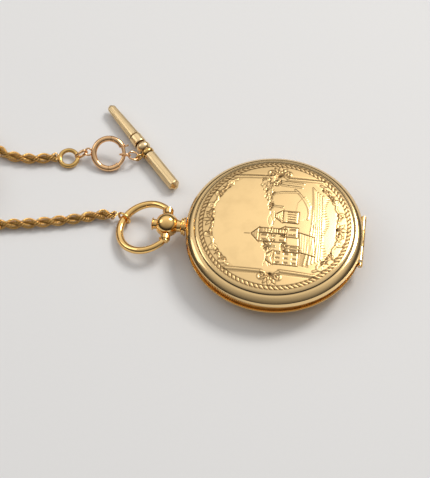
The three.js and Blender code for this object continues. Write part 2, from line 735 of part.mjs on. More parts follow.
function ratchetWheel() {
  const teeth = 30;
  const shape = new THREE.Shape();
  for (let i = 0; i < teeth; i += 1) {
    const a = (2 * PI * i) / teeth;
    shape[i ? "lineTo" : "moveTo"](4.3 * Math.cos(a), 4.3 * Math.sin(a));
    shape.lineTo(4.75 * Math.cos(a + 0.04), 4.75 * Math.sin(a + 0.04));
  }
  shape.closePath();
  shape.holes.push(new THREE.Path(ringPoints(BARREL_ARBOR_R + 0.02, 12)));
  return slab(shape, BRIDGE_Z[0] - 0.32, BRIDGE_Z[0] - 0.05);
}

function click() {
  const shape = new THREE.Shape();
  shape.moveTo(-1.2, -0.25);
  shape.lineTo(0.5, -0.7);
  shape.lineTo(0.8, 0);
  shape.lineTo(0.5, 0.6);
  shape.lineTo(-0.6, 0.35);
  shape.closePath();
  const towards = direction(CLICK, BARREL) + PI;
  return join(
    slab(shape, BRIDGE_Z[0] - 0.32, BRIDGE_Z[0] - 0.05),
    rod(0.3, BRIDGE_Z[0] - 0.4, BRIDGE_Z[0] + 0.4, 10),
  ).rotateZ(towards);
}

// ---- Plates, bridges and cocks

// A bridge: an outline raised between the bridge heights, with feet that stand on the main plate.
function bridge(outline, feet, holes, screwHoles) {
  const shape = new THREE.Shape(outline.map(([x, y]) => new THREE.Vector2(x, y)));
  const top = slab(shape, ...BRIDGE_Z);
  const pads = feet.map(([x, y]) => rod(FOOT_R, BRIDGE_Z[0], PLATE_Z[0], 12).translate(x, y, 0));
  const drills = holes.map(([[x, y], r]) => rod(r, 0, HALF_H, 12).translate(x, y, 0));
  const bores = screwHoles.flatMap(([x, y]) => [
    rod(BRIDGE_SCREW_R + 0.05, 0, HALF_H, 10).translate(x, y, 0),
    rod(BRIDGE_SCREW_HEAD_R + 0.05, 0, SCREW_SEAT_Z + 0.02, 10).translate(x, y, 0),
  ]);
  return cut(join(top, ...pads), ...drills, ...bores);
}

const BRIDGE_SCREW_R = 0.45;
const BRIDGE_SCREW_HEAD_R = 0.85;
const SCREW_SEAT_Z = BRIDGE_Z[0] + 0.45;
const pivotHole = (r) => (r + PIVOT_GAP) / Math.cos(PI / 12) + 0.01;
const polar = (r, degrees) => along(CENTRE, r, THREE.MathUtils.degToRad(degrees));
const arcPoints = (r, from, to, count) =>
  Array.from({ length: count + 1 }, (_, i) => polar(r, from + ((to - from) * i) / count));

const BARREL_FEET = [polar(16.5, 232), polar(16.5, -38)];
const TRAIN_FEET = [polar(16.5, 22), polar(16.5, 128)];
const COCK_FOOT = polar(16.5, 208);
const PALLET_COCK_FOOT = polar(16.2, 158);

const barrelBridge = () =>
  bridge(
    [...arcPoints(BRIDGE_R, 227, 330, 10), [9, -2.6], [4, -1.2], [-4, -2.2], [-8.5, -5.5]],
    BARREL_FEET,
    [[BARREL, pivotHole(BARREL_ARBOR_R)], [CLICK, pivotHole(0.3)]],
    BARREL_FEET,
  );

const trainBridge = () =>
  bridge(
    [...arcPoints(BRIDGE_R, 15, 134, 11), [-9.6, 6.4], [-3.4, 4.2], [-2.6, -1], [2.6, -0.6], [8, 0.8]],
    TRAIN_FEET,
    [
      [CENTRE, pivotHole(0.5)],
      [THIRD, pivotHole(ARBOR_R)],
      [FOURTH, pivotHole(ARBOR_R)],
      [ESCAPE, pivotHole(ARBOR_R)],
    ],
    TRAIN_FEET,
  );

function balanceCock() {
  const [x, y] = BALANCE;
  return bridge(
    [
      ...arcPoints(BRIDGE_R, 200, 216, 3),
      [x + 1.6, y - 5],
      [x + 2, y],
      [x + 1.2, y + 1.7],
      [x - 1.2, y + 1.7],
      [x - 2, y],
    ],
    [COCK_FOOT],
    [[BALANCE, pivotHole(ARBOR_R)]],
    [COCK_FOOT],
  );
}

// A small bar under the balance that holds the pallet fork's lower pivot.
function palletCock() {
  const z = [HALF_H - 1.15, HALF_H - 1.02];
  const [fx, fy] = PALLET_COCK_FOOT;
  const [px, py] = PALLET;
  const side = 0.8;
  const shape = new THREE.Shape(
    [
      [px + side, py + side],
      [px - side / 2, py - side],
      [fx - side / 2, fy - side],
      [fx + side, fy + side],
    ].map(([x, y]) => new THREE.Vector2(x, y)),
  );
  const bar = slab(shape, ...z);
  const foot = rod(0.8, z[0], PLATE_Z[0], 12).translate(fx, fy, 0);
  return cut(join(bar, foot), rod(pivotHole(0.2), 0, HALF_H, 12).translate(px, py, 0));
}

function mainPlate() {
  const disc = turned([
    [0, PLATE_Z[0]],
    [BORE_R - SEAT_GAP, PLATE_Z[0]],
    [BORE_R - SEAT_GAP, FLANGE_Z + 0.05],
    [PLATE_FLANGE_R, FLANGE_Z + 0.05],
    [PLATE_FLANGE_R, PLATE_Z[1]],
    [0, PLATE_Z[1]],
  ]);
  const recess = rod(MOTION_RECESS_R, MOTION_FLOOR_Z, HALF_H * 2, 32);
  const drill = ([x, y], r, depth = HALF_H * 2) =>
    rod(pivotHole(r), 0, depth, 12).translate(x, y, 0);
  const blind = PLATE_Z[0] + 0.7;
  const feet = [...BARREL_FEET, ...TRAIN_FEET, COCK_FOOT];
  return cut(
    disc,
    recess,
    drill(CENTRE, 0.5),
    drill(FOURTH, ARBOR_R),
    drill(THIRD, ARBOR_R, blind),
    drill(ESCAPE, ARBOR_R, blind),
    drill(BALANCE, ARBOR_R, blind),
    drill(PALLET, 0.2, blind),
    drill(BARREL, BARREL_ARBOR_R, PLATE_Z[0] + 0.9),
    ...feet.map((at) => drill(at, BRIDGE_SCREW_R, blind)),
    ...CASE_SCREWS.map((at) => drill(at, BRIDGE_SCREW_R, blind)),
  );
}

const CASE_SCREWS = [polar(18.9, 90 + 60), polar(18.9, -5)];

// A screw whose head faces the back, from the bridge into the main plate.
function screw([x, y], headZ) {
  return turned(
    [
      [0, headZ - 0.45],
      [BRIDGE_SCREW_HEAD_R, headZ - 0.45],
      [BRIDGE_SCREW_HEAD_R, headZ],
      [BRIDGE_SCREW_R, headZ],
      [BRIDGE_SCREW_R, PLATE_Z[0] + 0.6],
      [0, PLATE_Z[0] + 0.6],
    ],
    10,
  ).translate(x, y, 0);
}

// ---- Escapement and balance

function palletFork() {
  const toEscape = direction(PALLET, ESCAPE);
  const shape = new THREE.Shape();
  const reach = 1.75;
  const points = [
    [0.75, reach],
    [0.35, reach],
    [-0.3, 0.45],
    [-3.6, 0.2],
    [-4.3, 0.55],
    [-4.3, 0.32],
    [-3.95, 0.12],
    [-3.95, -0.12],
    [-4.3, -0.32],
    [-4.3, -0.55],
    [-3.6, -0.2],
    [-0.3, -0.45],
    [0.35, -reach],
    [0.75, -reach],
    [0.35, 0],
  ];
  points.forEach(([x, y], i) => shape[i ? "lineTo" : "moveTo"](x, y));
  shape.closePath();
  return join(
    slab(shape, Z.escapeWheel - 0.02, Z.escapeWheel + 0.18),
    rod(0.2, HALF_H - 1.14, PLATE_Z[0] + 0.6, 10),
  ).rotateZ(toEscape);
}

function balanceWheel() {
  const rim = new THREE.Shape(ringPoints(BALANCE_R, 32));
  const windowR = BALANCE_R - 0.55;
  for (const side of [1, -1]) {
    const window = [];
    for (let k = 0; k <= 10; k += 1) {
      const a = 0.1 + ((PI - 0.2) * k) / 10;
      window.push(new THREE.Vector2(windowR * Math.cos(a), side * windowR * Math.sin(a)));
    }
    window.push(
      new THREE.Vector2(-0.9, side * 0.55),
      new THREE.Vector2(0, side),
      new THREE.Vector2(0.9, side * 0.55),
    );
    rim.holes.push(new THREE.Path(window));
  }
  return join(
    slab(rim, ...Z.balance),
    rod(ARBOR_R, ABOVE_BRIDGE, PLATE_Z[0] + 0.6, 10),
    rod(1.1, Z.balance[1], HALF_H - 1.08, 12),
    rod(0.5, HALF_H - 2.08, Z.balance[0], 10),
  );
}

const hairspring = () =>
  spiralStrip(0.62, HAIRSPRING_R, 4.4, 0.12, [HALF_H - 2.02, HALF_H - 1.85], 14);

// The regulator turns on the cock, with a pointer and two curb pins' boss.
function regulator() {
  const shape = new THREE.Shape();
  const points = [
    [0.2, 4.6],
    [-0.2, 4.6],
    [-0.5, 1.6],
    [-1.5, 0.5],
    [-1.5, -0.5],
    [-0.5, -1.5],
    [0.5, -1.5],
    [1.5, -0.5],
    [1.5, 0.5],
    [0.5, 1.6],
  ];
  points.forEach(([x, y], i) => shape[i ? "lineTo" : "moveTo"](x, y));
  shape.closePath();
  shape.holes.push(new THREE.Path(ringPoints(0.6, 12)));
  return slab(shape, BRIDGE_Z[0] - 0.3, BRIDGE_Z[0] - 0.04).rotateZ(-2.3);
}

// ---- Motion work, dial and hands

const HAND_Z = { seconds: DIAL_Z[1] + 0.15, hour: DIAL_Z[1] + 0.45, minute: DIAL_Z[1] + 0.85 };
const HAND = 0.14;
const CANNON_R = 0.9;
const PIPE_R = 1.3;

function cannonPinion() {
  const toMinute = direction(CENTRE, MINUTE);
  const body = join(
    rod(CANNON_R, MOTION_FLOOR_Z + 0.05, HAND_Z.minute + 0.3, 14),
    slab(
      gearShape(CANNON_TEETH, MOTION_MODULE, toMinute + halfPitch(CANNON_TEETH)),
      MOTION_FLOOR_Z + 0.05,
      HALF_H + 0.52,
    ),
  );
  return cut(body, rod(0.5 + PIVOT_GAP, 0, HALF_H * 2, 14));
}

function minuteWheel() {
  const toCentre = direction(MINUTE, CENTRE);
  const module = minuteAway / ((MINUTE_PINION + HOUR_TEETH) / 2);
  return join(
    slab(armWindows(gearShape(MINUTE_TEETH, MOTION_MODULE, toCentre), 1.5, 2.6, 3), HALF_H + 0.32, HALF_H + 0.47),
    slab(gearShape(MINUTE_PINION, module, toCentre + halfPitch(MINUTE_PINION)), HALF_H + 0.47, HALF_H + 0.9),
  );
}

function hourWheel() {
  const module = minuteAway / ((MINUTE_PINION + HOUR_TEETH) / 2);
  const toMinute = direction(CENTRE, MINUTE);
  const body = join(
    slab(gearShape(HOUR_TEETH, module, toMinute), HALF_H + 0.66, HALF_H + 0.81),
    rod(PIPE_R, HALF_H + 0.62, HAND_Z.hour + HAND, 14),
  );
  return cut(body, rod(CANNON_R + PIVOT_GAP + 0.02, 0, HALF_H * 2, 14));
}

// A leaf-shaped hand that points along +X from its hub, with a short tail.
function hand(length, width, hubR, holeR, z, tail) {
  const shape = new THREE.Shape();
  const points = [
    [length, 0],
    [length * 0.72, width / 2],
    [hubR * 0.9, width / 5],
    [0, hubR],
    [-hubR * 0.9, width / 5],
    [-tail, width / 4],
    [-tail, -width / 4],
    [-hubR * 0.9, -width / 5],
    [0, -hubR],
    [hubR * 0.9, -width / 5],
    [length * 0.72, -width / 2],
  ];
  points.forEach(([x, y], i) => shape[i ? "lineTo" : "moveTo"](x, y));
  shape.closePath();
  const hub = rod(hubR, z, z + HAND, 16);
  return cut(join(slab(shape, z, z + HAND), hub), rod(holeR, z - 1, z + 1, 14));
}

function dial() {
  const shape = new THREE.Shape(ringPoints(BORE_R - 0.15, 48));
  shape.holes.push(new THREE.Path(ringPoints(PIPE_R + 0.15, 16)));
  const seconds = ringPoints(ARBOR_R + 0.2, 12).map((p) => p.add(new THREE.Vector2(...FOURTH)));
  shape.holes.push(new THREE.Path(seconds));
  return slab(shape, ...DIAL_Z);
}

const DIAL_TURN = -PI / 2; // the direction of twelve o'clock
const clockwise = (turns) => DIAL_TURN - 2 * PI * turns;
const HOURS = (10 + 8 / 60) / 12;
const MINUTES = 8 / 60;

function addHands() {
  const hour = add("hour_hand", hand(9.6, 1.5, 2.1, PIPE_R + 0.03, HAND_Z.hour, 2.4), metal(BLUED));
  hour.rotation.z = clockwise(HOURS);
  const minute = add("minute_hand", hand(15.4, 1.3, 1.7, CANNON_R + 0.03, HAND_Z.minute, 3), metal(BLUED));
  minute.rotation.z = clockwise(MINUTES);
  const seconds = add("seconds_hand", hand(3.2, 0.4, 0.7, ARBOR_R + 0.02, HAND_Z.seconds, 1.2), metal(BLUED));
  seconds.position.set(...FOURTH, 0);
  seconds.rotation.z = clockwise(35 / 60);
}

function placed(name, geometry, [x, y], material) {
  add(name, geometry, material).position.set(x, y, 0);
}

function addMovement() {
  add("main_plate", mainPlate(), metal(GILT, 0.4));
  add("dial", dial(), enamel());
  add("barrel_bridge", barrelBridge(), metal(GILT, 0.4));
  add("train_bridge", trainBridge(), metal(GILT, 0.4));
  add("balance_cock", balanceCock(), metal(GILT, 0.4));
  add("pallet_cock", palletCock(), metal(GILT, 0.4));
  placed("centre_wheel", centreWheel(), CENTRE, metal(GILT));
  placed("third_wheel", thirdWheel(), THIRD, metal(GILT));
  placed("fourth_wheel", fourthWheel(), FOURTH, metal(GILT));
  placed("escape_wheel", escapeWheel(), ESCAPE, metal(STEEL));
  placed("barrel", barrel(), BARREL, metal(GILT));
  placed("barrel_cover", barrelCover(), BARREL, metal(GILT));
  placed("barrel_arbor", barrelArbor(), BARREL, metal(STEEL));
  const spring = spiralStrip(BARREL_CORE_R + 0.4, BARREL_DRUM_R - BARREL_WALL - 0.2, 5, 0.3,
    [Z.barrel[0] + 0.3, Z.barrelTeeth[1] - 0.32], 14);
  placed("mainspring", spring, BARREL, metal(BLUED));
  placed("ratchet_wheel", ratchetWheel(), BARREL, metal(STEEL));
  placed("click", click(), CLICK, metal(STEEL));
  placed("pallet_fork", palletFork(), PALLET, metal(STEEL));
  placed("balance_wheel", balanceWheel(), BALANCE, metal(GILT, 0.15));
  placed("hairspring", hairspring(), BALANCE, metal(BLUED));
  placed("regulator", regulator(), BALANCE, metal(STEEL));
  placed("cannon_pinion", cannonPinion(), CENTRE, metal(STEEL));
  placed("hour_wheel", hourWheel(), CENTRE, metal(GILT));
  placed("minute_wheel", minuteWheel(), MINUTE, metal(GILT));
  add("barrel_bridge_screw", screw(BARREL_FEET[0], SCREW_SEAT_Z), metal(BLUED));
  add("train_bridge_screw", screw(TRAIN_FEET[1], SCREW_SEAT_Z), metal(BLUED));
  add("balance_cock_screw", screw(COCK_FOOT, SCREW_SEAT_Z), metal(BLUED));
  CASE_SCREWS.forEach((at, i) => add("case_screw_" + (i + 1), screw(at, PLATE_Z[0] - 0.03), metal(BLUED)));
}

// ---- Chain, clasp and T-bar

const bowPoint = (y) => {
  const reach = BOW_OFFSET + Math.sqrt(BOW_R ** 2 - y ** 2);
  return [BALL_X - reach * Math.cos(BOW_DROOP), y, HALF_H - reach * Math.sin(BOW_DROOP)];
};
const END_RING_Y = 3.7;

function endRing() {
  const [x, y, z] = bowPoint(END_RING_Y);
  const ringTurn = Math.asin(END_RING_Y / BOW_R);
  return ring(END_RING_R, END_RING_WIRE, 18)
    .rotateX(PI / 2)
    .rotateZ(-ringTurn)
    .translate(x - 0.14, y, z + 0.18);
}

const vectors = (points) => points.map((p) => new THREE.Vector3(...p));
const rope = (points, steps) => wire(new THREE.CatmullRomCurve3(vectors(points)), ROPE_R, steps, 8);

// The strand from the bow to the coil.
const RUN_TO_BOW = [
  [-44.25, 4, 2.5],
  [-47.8, 4.5, ROPE_R + 0.05],
  [-53, 2.9, ROPE_R + 0.05],
  [-58.3, 1.5, ROPE_R + 0.05],
  [-63.6, 0.3, ROPE_R + 0.05],
  [-68.9, -0.7, ROPE_R + 0.05],
  [-74.3, -1.5, ROPE_R + 0.05],
  [-79.8, -2.8, ROPE_R + 0.05],
];

// The strand from the coil's upper layer to the jump ring.
const RUN_TO_FITTINGS = [
  [-85.2, 27.6, 4.3],
  [-81, 24.4, 2.4],
  [-76.6, 21.8, ROPE_R + 0.05],
  [-70, 21.2, ROPE_R + 0.05],
  [-66.4, 21.7, ROPE_R + 0.05],
  [-62.95, 22.4, ROPE_R + 0.05],
];

function coil() {
  const bevel = 1.2;
  return turned(
    [
      [COIL_INNER_R + bevel, 0.02],
      [COIL_OUTER_R - bevel, 0.02],
      [COIL_OUTER_R, bevel],
      [COIL_OUTER_R, COIL_HEIGHT - bevel],
      [COIL_OUTER_R - bevel, COIL_HEIGHT],
      [COIL_INNER_R + bevel, COIL_HEIGHT],
      [COIL_INNER_R, COIL_HEIGHT - bevel],
      [COIL_INNER_R, bevel],
    ],
    36,
  ).translate(...COIL_CENTRE, 0);
}

const CLASP_EYE_R = 0.95;
const CLASP_EYE_WIRE = 0.27;
const CLASP_EYE_AT = CLASP_R + CLASP_TUBE + CLASP_EYE_R - CLASP_EYE_WIRE;
const SWIVEL_R = 1.2;
const SWIVEL_HALF_WALL = 0.2;

// A flat oval link on edge, from the jump ring's wire to the wire of the clasp's eye.
function swivelLink() {
  const side = THREE.MathUtils.degToRad(15);
  const [jx, jy, jz] = JUMP_CENTRE;
  const from = new THREE.Vector3(
    jx + JUMP_R * Math.cos(side),
    jy + JUMP_R * Math.sin(side) * Math.cos(JUMP_TILT),
    jz + JUMP_R * Math.sin(side) * Math.sin(JUMP_TILT),
  );
  const to = new THREE.Vector3(...CLASP_CENTRE);
  to.x -= CLASP_EYE_AT + CLASP_EYE_R;
  const length = from.distanceTo(to);
  const shape = new THREE.Shape();
  shape.absarc(0, 0, SWIVEL_R, PI / 2, (3 * PI) / 2, false);
  shape.absarc(length, 0, SWIVEL_R, -PI / 2, PI / 2, false);
  for (const x of [0, length]) {
    const hole = ringPoints(JUMP_WIRE + SEAT_GAP + 0.02, 10).map((p) => p.add(new THREE.Vector2(x, 0)));
    shape.holes.push(new THREE.Path(hole));
  }
  const run = to.clone().sub(from).normalize();
  const normal = new THREE.Vector3(-run.y, run.x, 0).normalize();
  const basis = new THREE.Matrix4().makeBasis(run, normal.clone().cross(run), normal).setPosition(from);
  return slab(shape, -SWIVEL_HALF_WALL, SWIVEL_HALF_WALL, 6).applyMatrix4(basis);
}

const GATE_FROM = -0.75;
const GATE_TO = 0.55;
const KNOB_R = 0.26;

// The clasp's tube runs round from the gate's far end to its near end, slotted where the knob travels.
function claspBody(group) {
  const tube = wire(arcCurve(CLASP_R, GATE_TO, 2 * PI + GATE_FROM), CLASP_TUBE, 18, 8, CLASP_BORE);
  const slot = sectorShape(CLASP_R + CLASP_BORE / 2, CLASP_R + 2, GATE_TO - 0.1, GATE_TO + 0.75);
  const slotted = cut(tube, slab(slot, -KNOB_R - 0.08, KNOB_R + 0.08, 5));
  const eye = ring(CLASP_EYE_R, CLASP_EYE_WIRE, 14, 6).translate(-CLASP_EYE_AT, 0, 0);
  add("clasp_ring", join(slotted, eye), metal(ROSE_GOLD, 0.2), group);
}

function claspGate(group) {
  const pin = wire(arcCurve(CLASP_R, GATE_FROM - 0.1, GATE_TO + 0.35), GATE_WIRE, 10, 8);
  const knobAt = GATE_TO - 0.05;
  const knob = rod(KNOB_R, CLASP_R, CLASP_R + CLASP_TUBE + 0.9, 8).rotateY(PI / 2).rotateZ(knobAt);
  add("clasp_gate", join(pin, knob), metal(ROSE_GOLD, 0.2), group);
}

function addClasp() {
  const group = new THREE.Group();
  group.position.set(...CLASP_CENTRE);
  group.rotation.x = CLASP_TILT;
  watch.add(group);
  claspBody(group);
  claspGate(group);
}

function addLinks() {
  const [cx, cy, cz] = CLASP_CENTRE;
  const first = ring(1.45, LINK_WIRE, 16).rotateX(PI / 2).rotateX(CLASP_TILT);
  add("clasp_link", first.translate(cx + CLASP_R + 0.34, cy, cz), metal(ROSE_GOLD));
  const second = ring(1.5, LINK_WIRE, 16).rotateX(-0.2).rotateY(0.25);
  add("bar_link", second.translate(cx + CLASP_R + 2.66, cy + 0.2, cz - 0.35), metal(ROSE_GOLD));
}

// Profile of the toggle bar along its own axis: pyramid ends, grooves, a neck and a polished bead.
function toggleBar() {
  const half = BAR_LENGTH / 2;
  const neck = [BAR_COLLAR_AT - BAR_COLLAR_HALF - 0.1, BAR_COLLAR_AT + BAR_COLLAR_HALF + 0.1];
  return turned(
    [
      [0, -half],
      [BAR_R * 0.7, -half + 2],
      [BAR_R, -half + 9],
      [BAR_R, -3.2],
      [BAR_NECK_R, -3],
      [BAR_BEAD_R, -1.6],
      [BAR_BEAD_R, 0.2],
      [BAR_NECK_R, neck[0]],
      [BAR_NECK_R, neck[1]],
      [BAR_R, neck[1] + 0.1],
      [BAR_R, half - 2.4],
      [0, half],
    ],
    12,
  ).rotateY(PI / 2);
}

function toggleCollar() {
  const band = turned([
    [BAR_NECK_R + SEAT_GAP, -BAR_COLLAR_HALF],
    [BAR_COLLAR_R, -BAR_COLLAR_HALF],
    [BAR_COLLAR_R, BAR_COLLAR_HALF],
    [BAR_NECK_R + SEAT_GAP, BAR_COLLAR_HALF],
  ], 16)
    .rotateY(PI / 2)
    .translate(BAR_COLLAR_AT, 0, 0);
  const eye = ring(1.0, 0.3, 14, 6).rotateY(PI / 2).translate(BAR_COLLAR_AT, -BAR_COLLAR_R - 1.05, 0);
  return join(band, eye);
}

function addToggle() {
  const group = new THREE.Group();
  group.position.set(...BAR_MIDDLE);
  group.rotation.z = BAR_TURN;
  watch.add(group);
  add("toggle_bar", toggleBar(), metal(GOLD, 0.35), group);
  add("toggle_collar", toggleCollar(), metal(ROSE_GOLD), group);
}

function addChain() {
  add("chain_end_ring", endRing(), metal(GOLD));
  add("chain_run_to_bow", rope(RUN_TO_BOW, 12), metal(GOLD, 0.35));
  add("chain_coil", coil(), metal(GOLD, 0.35));
  add("chain_run_to_fittings", rope(RUN_TO_FITTINGS, 8), metal(GOLD, 0.35));
  const jump = add("jump_ring", ring(JUMP_R, JUMP_WIRE, 20, 8), metal(ROSE_GOLD));
  jump.position.set(...JUMP_CENTRE);
  jump.rotation.x = JUMP_TILT;
  add("swivel_link", swivelLink(), metal(ROSE_GOLD));
  addClasp();
  addLinks();
  addToggle();
}

addCase();
addPendant();
addMovement();
addHands();
addChain();

export default watch;
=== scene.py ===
"""Dresses the key-wound hunting-case watch: engraved lid, rope chain, clasp, T-bar, dial and movement."""

import json  # noqa: E402
import logging  # noqa: E402
import math  # noqa: E402
from dataclasses import dataclass, field  # noqa: E402
from enum import Enum  # noqa: E402
from functools import cache  # noqa: E402
from typing import ClassVar  # noqa: E402

import bmesh  # noqa: E402
import bpy  # noqa: E402
import numpy as np  # noqa: E402
from mathutils import Matrix, Vector  # noqa: E402


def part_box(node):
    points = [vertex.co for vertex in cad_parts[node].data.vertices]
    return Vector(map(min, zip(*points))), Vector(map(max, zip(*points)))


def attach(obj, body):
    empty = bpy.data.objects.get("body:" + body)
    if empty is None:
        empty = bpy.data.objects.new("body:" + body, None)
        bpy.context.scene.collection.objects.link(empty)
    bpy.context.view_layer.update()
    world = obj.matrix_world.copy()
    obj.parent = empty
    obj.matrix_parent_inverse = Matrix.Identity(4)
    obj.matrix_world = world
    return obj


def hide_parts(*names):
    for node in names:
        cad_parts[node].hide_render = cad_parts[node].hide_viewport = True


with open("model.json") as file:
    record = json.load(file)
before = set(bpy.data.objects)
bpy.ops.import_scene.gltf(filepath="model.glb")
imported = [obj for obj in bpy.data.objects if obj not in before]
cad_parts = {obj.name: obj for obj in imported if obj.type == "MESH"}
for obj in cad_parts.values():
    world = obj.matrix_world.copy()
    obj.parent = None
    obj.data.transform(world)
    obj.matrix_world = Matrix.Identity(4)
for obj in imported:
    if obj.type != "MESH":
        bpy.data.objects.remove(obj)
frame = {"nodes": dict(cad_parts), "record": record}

log = logging.getLogger("watch")
MM = 0.001
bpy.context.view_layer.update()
Point = tuple[float, float, float]
Place = tuple[float, float]
Profile = list[Place]
Shell = tuple[list, list]


def shift(x: float, y: float, z: float) -> Matrix:
    """A move in millimetres."""
    return Matrix.Translation((x, y, z))


def spin(angle: float, axis: str) -> Matrix:
    """A turn about an axis by an angle in radians."""
    return Matrix.Rotation(angle, 4, axis)


def polar(r: object, a: object) -> np.ndarray:
    """Points (x, y) at radii and angles."""
    return np.column_stack([r * np.cos(a), r * np.sin(a)])


class Body(Enum):
    """The bodies of the frame that new pieces ride on."""

    CASE = "case"
    FRONT_LID = "front_lid"
    BACK_LID = "back_lid"
    BOW = "bow"
    PUSH = "push"
    CLASP_GATE = "clasp_gate"
    TOGGLE_BAR = "toggle_bar"


# ---- Node trees and finishes


SOCKETS = {float: "NodeSocketFloat", int: "NodeSocketInt", type(None): "NodeSocketGeometry"}


class Graph:
    """Adds nodes to a tree, sets them and links them."""

    def __init__(self, tree: bpy.types.NodeTree) -> None:
        """Takes the tree to add to."""
        self.tree = tree
        self.nodes = tree.nodes
        self.link = tree.links.new

    @classmethod
    def group(cls, name: str, kind: str, inputs: dict, outputs: tuple[str, ...]) -> "Graph":
        """Starts a node group with named sockets.

        Args:
            name: the group's name.
            kind: its tree type.
            inputs: a first value for each input; a whole number makes a count and None a geometry.
            outputs: the outputs' names; each is a number, but "Geometry" is a geometry.

        Returns:
            The group's graph, with its input sockets in source and its output sockets in sink.
        """
        tree = bpy.data.node_groups.new(name, kind)
        for label, value in inputs.items():
            socket = tree.interface.new_socket(label, in_out="INPUT", socket_type=SOCKETS[type(value)])
            if value is not None:
                socket.default_value = value
        for label in outputs:
            sort = SOCKETS[type(None) if label == "Geometry" else float]
            tree.interface.new_socket(label, in_out="OUTPUT", socket_type=sort)
        made = cls(tree)
        made.source = made.nodes.new("NodeGroupInput").outputs
        made.sink = made.nodes.new("NodeGroupOutput").inputs
        return made

    @classmethod
    def material(cls, name: str) -> tuple[bpy.types.Material, "Graph", bpy.types.Node]:
        """Starts a material and returns it with its graph and its shader."""
        made = bpy.data.materials.new(name)
        made.use_nodes = True
        return made, cls(made.node_tree), made.node_tree.nodes["Principled BSDF"]

    def feed(self, node: bpy.types.Node, feeds: dict) -> bpy.types.Node:
        """Sets or links inputs; feeds gives a value or a socket for an input's name or index."""
        for key, value in feeds.items():
            if isinstance(value, bpy.types.NodeSocket):
                self.link(value, node.inputs[key])
            else:
                node.inputs[key].default_value = value
        return node

    def add(self, kind: str, feeds: dict | None = None, **settings: object) -> bpy.types.Node:
        """Adds a node.

        Args:
            kind: the node's type.
            feeds: what its inputs get, as in feed.
            settings: its own properties.

        Returns:
            The node.
        """
        node = self.nodes.new(kind)
        for name, value in settings.items():
            setattr(node, name, value)
        return self.feed(node, feeds or {})

    def math(self, operation: str, *values: object) -> bpy.types.NodeSocket:
        """Adds a math node on values or sockets and returns its result."""
        return self.add("ShaderNodeMath", dict(enumerate(values)), operation=operation).outputs[0]


@cache
def wear_group() -> bpy.types.NodeTree:
    """Builds the fine-wear effect: a colour mask, a roughness and a bump height in Object coordinates."""
    inputs = {"Roughness": 0.2, "Spread": 0.08, "Scale": 1.0}
    g = Graph.group("fine_wear", "ShaderNodeTree", inputs, ("Tarnish", "Roughness", "Height"))
    place = g.add("ShaderNodeTexCoord").outputs["Object"]
    scaled = {0: place, "Scale": g.source["Scale"]}
    sized = g.add("ShaderNodeVectorMath", scaled, operation="SCALE").outputs[0]
    cloud = g.add("ShaderNodeTexNoise", {"Vector": sized, "Scale": 260.0, "Detail": 5.0}).outputs["Fac"]
    grain = g.add("ShaderNodeTexNoise", {"Vector": sized, "Scale": 2600.0, "Detail": 3.0}).outputs["Fac"]
    stretch = {"Vector": sized, "Scale": (3.0, 40.0, 9.0), "Rotation": (0.0, 0.0, 0.7)}
    drawn = g.add("ShaderNodeMapping", stretch).outputs[0]
    scratch = g.add("ShaderNodeTexNoise", {"Vector": drawn, "Scale": 150.0}).outputs["Fac"]
    mask = g.add("ShaderNodeMapRange", {"Value": cloud, "From Min": 0.45, "From Max": 0.72}).outputs[0]
    g.link(mask, g.sink["Tarnish"])
    g.link(g.math("MULTIPLY_ADD", cloud, g.source["Spread"], g.source["Roughness"]), g.sink["Roughness"])
    g.link(g.math("MULTIPLY_ADD", scratch, 0.6, grain), g.sink["Height"])
    return g.tree


@dataclass(frozen=True)
class MetalFinish:
    """A worn metal.

    Args:
        name: the material's name.
        color: linear base colour.
        shade: linear colour of its tarnish and of what the groove attribute marks: painted shade on the
            engraved lid, dark oxide on the toggle bar.
        roughness: mean roughness.
        spread: how far the roughness wanders.
        bump: strength of the fine scratches.
        tarnish: share of the shade mixed in where the tarnish mask is full.
        groove: name of a point attribute, up to 1, that mixes in the shade colour (painted shade on the lid,
            oxide on the bar), or "".
        satin: name of a point attribute that is 1 where the surface is brushed, or "".
    """

    name: str
    color: Point
    shade: Point
    roughness: float = 0.18
    spread: float = 0.1
    bump: float = 0.03
    tarnish: float = 0.25
    groove: str = ""
    satin: str = ""
    GROOVE_SHARE: ClassVar[float] = 0.9
    SATIN_ROUGHNESS: ClassVar[float] = 0.16
    SCRATCH_DEPTH: ClassVar[float] = 0.00005

    @cache
    def material(self) -> bpy.types.Material:
        """Builds the material once and returns it."""
        made, g, shader = Graph.material(self.name)
        amounts = {"Roughness": self.roughness, "Spread": self.spread}
        wear = g.add("ShaderNodeGroup", amounts, node_tree=wear_group()).outputs
        share, rough = g.math("MULTIPLY", wear["Tarnish"], self.tarnish), wear["Roughness"]
        # The groove attribute mixes in the shade colour: painted shade on the engraved lid, dark oxide in
        # the toggle bar's grooves.
        if self.groove:
            cut = g.add("ShaderNodeAttribute", attribute_name=self.groove).outputs["Fac"]
            share = g.math("MAXIMUM", share, g.math("MULTIPLY", cut, self.GROOVE_SHARE))
        if self.satin:
            area = g.add("ShaderNodeAttribute", attribute_name=self.satin).outputs["Fac"]
            rough = g.math("MULTIPLY_ADD", area, self.SATIN_ROUGHNESS, rough)
        tones = {"Factor": share, "A": (*self.color, 1.0), "B": (*self.shade, 1.0)}
        color = g.add("ShaderNodeMix", tones, data_type="RGBA").outputs["Result"]
        relief = {"Strength": self.bump, "Distance": self.SCRATCH_DEPTH, "Height": wear["Height"]}
        bump = g.add("ShaderNodeBump", relief).outputs["Normal"]
        g.feed(shader, {"Metallic": 1.0, "Base Color": color, "Roughness": rough, "Normal": bump})
        return made


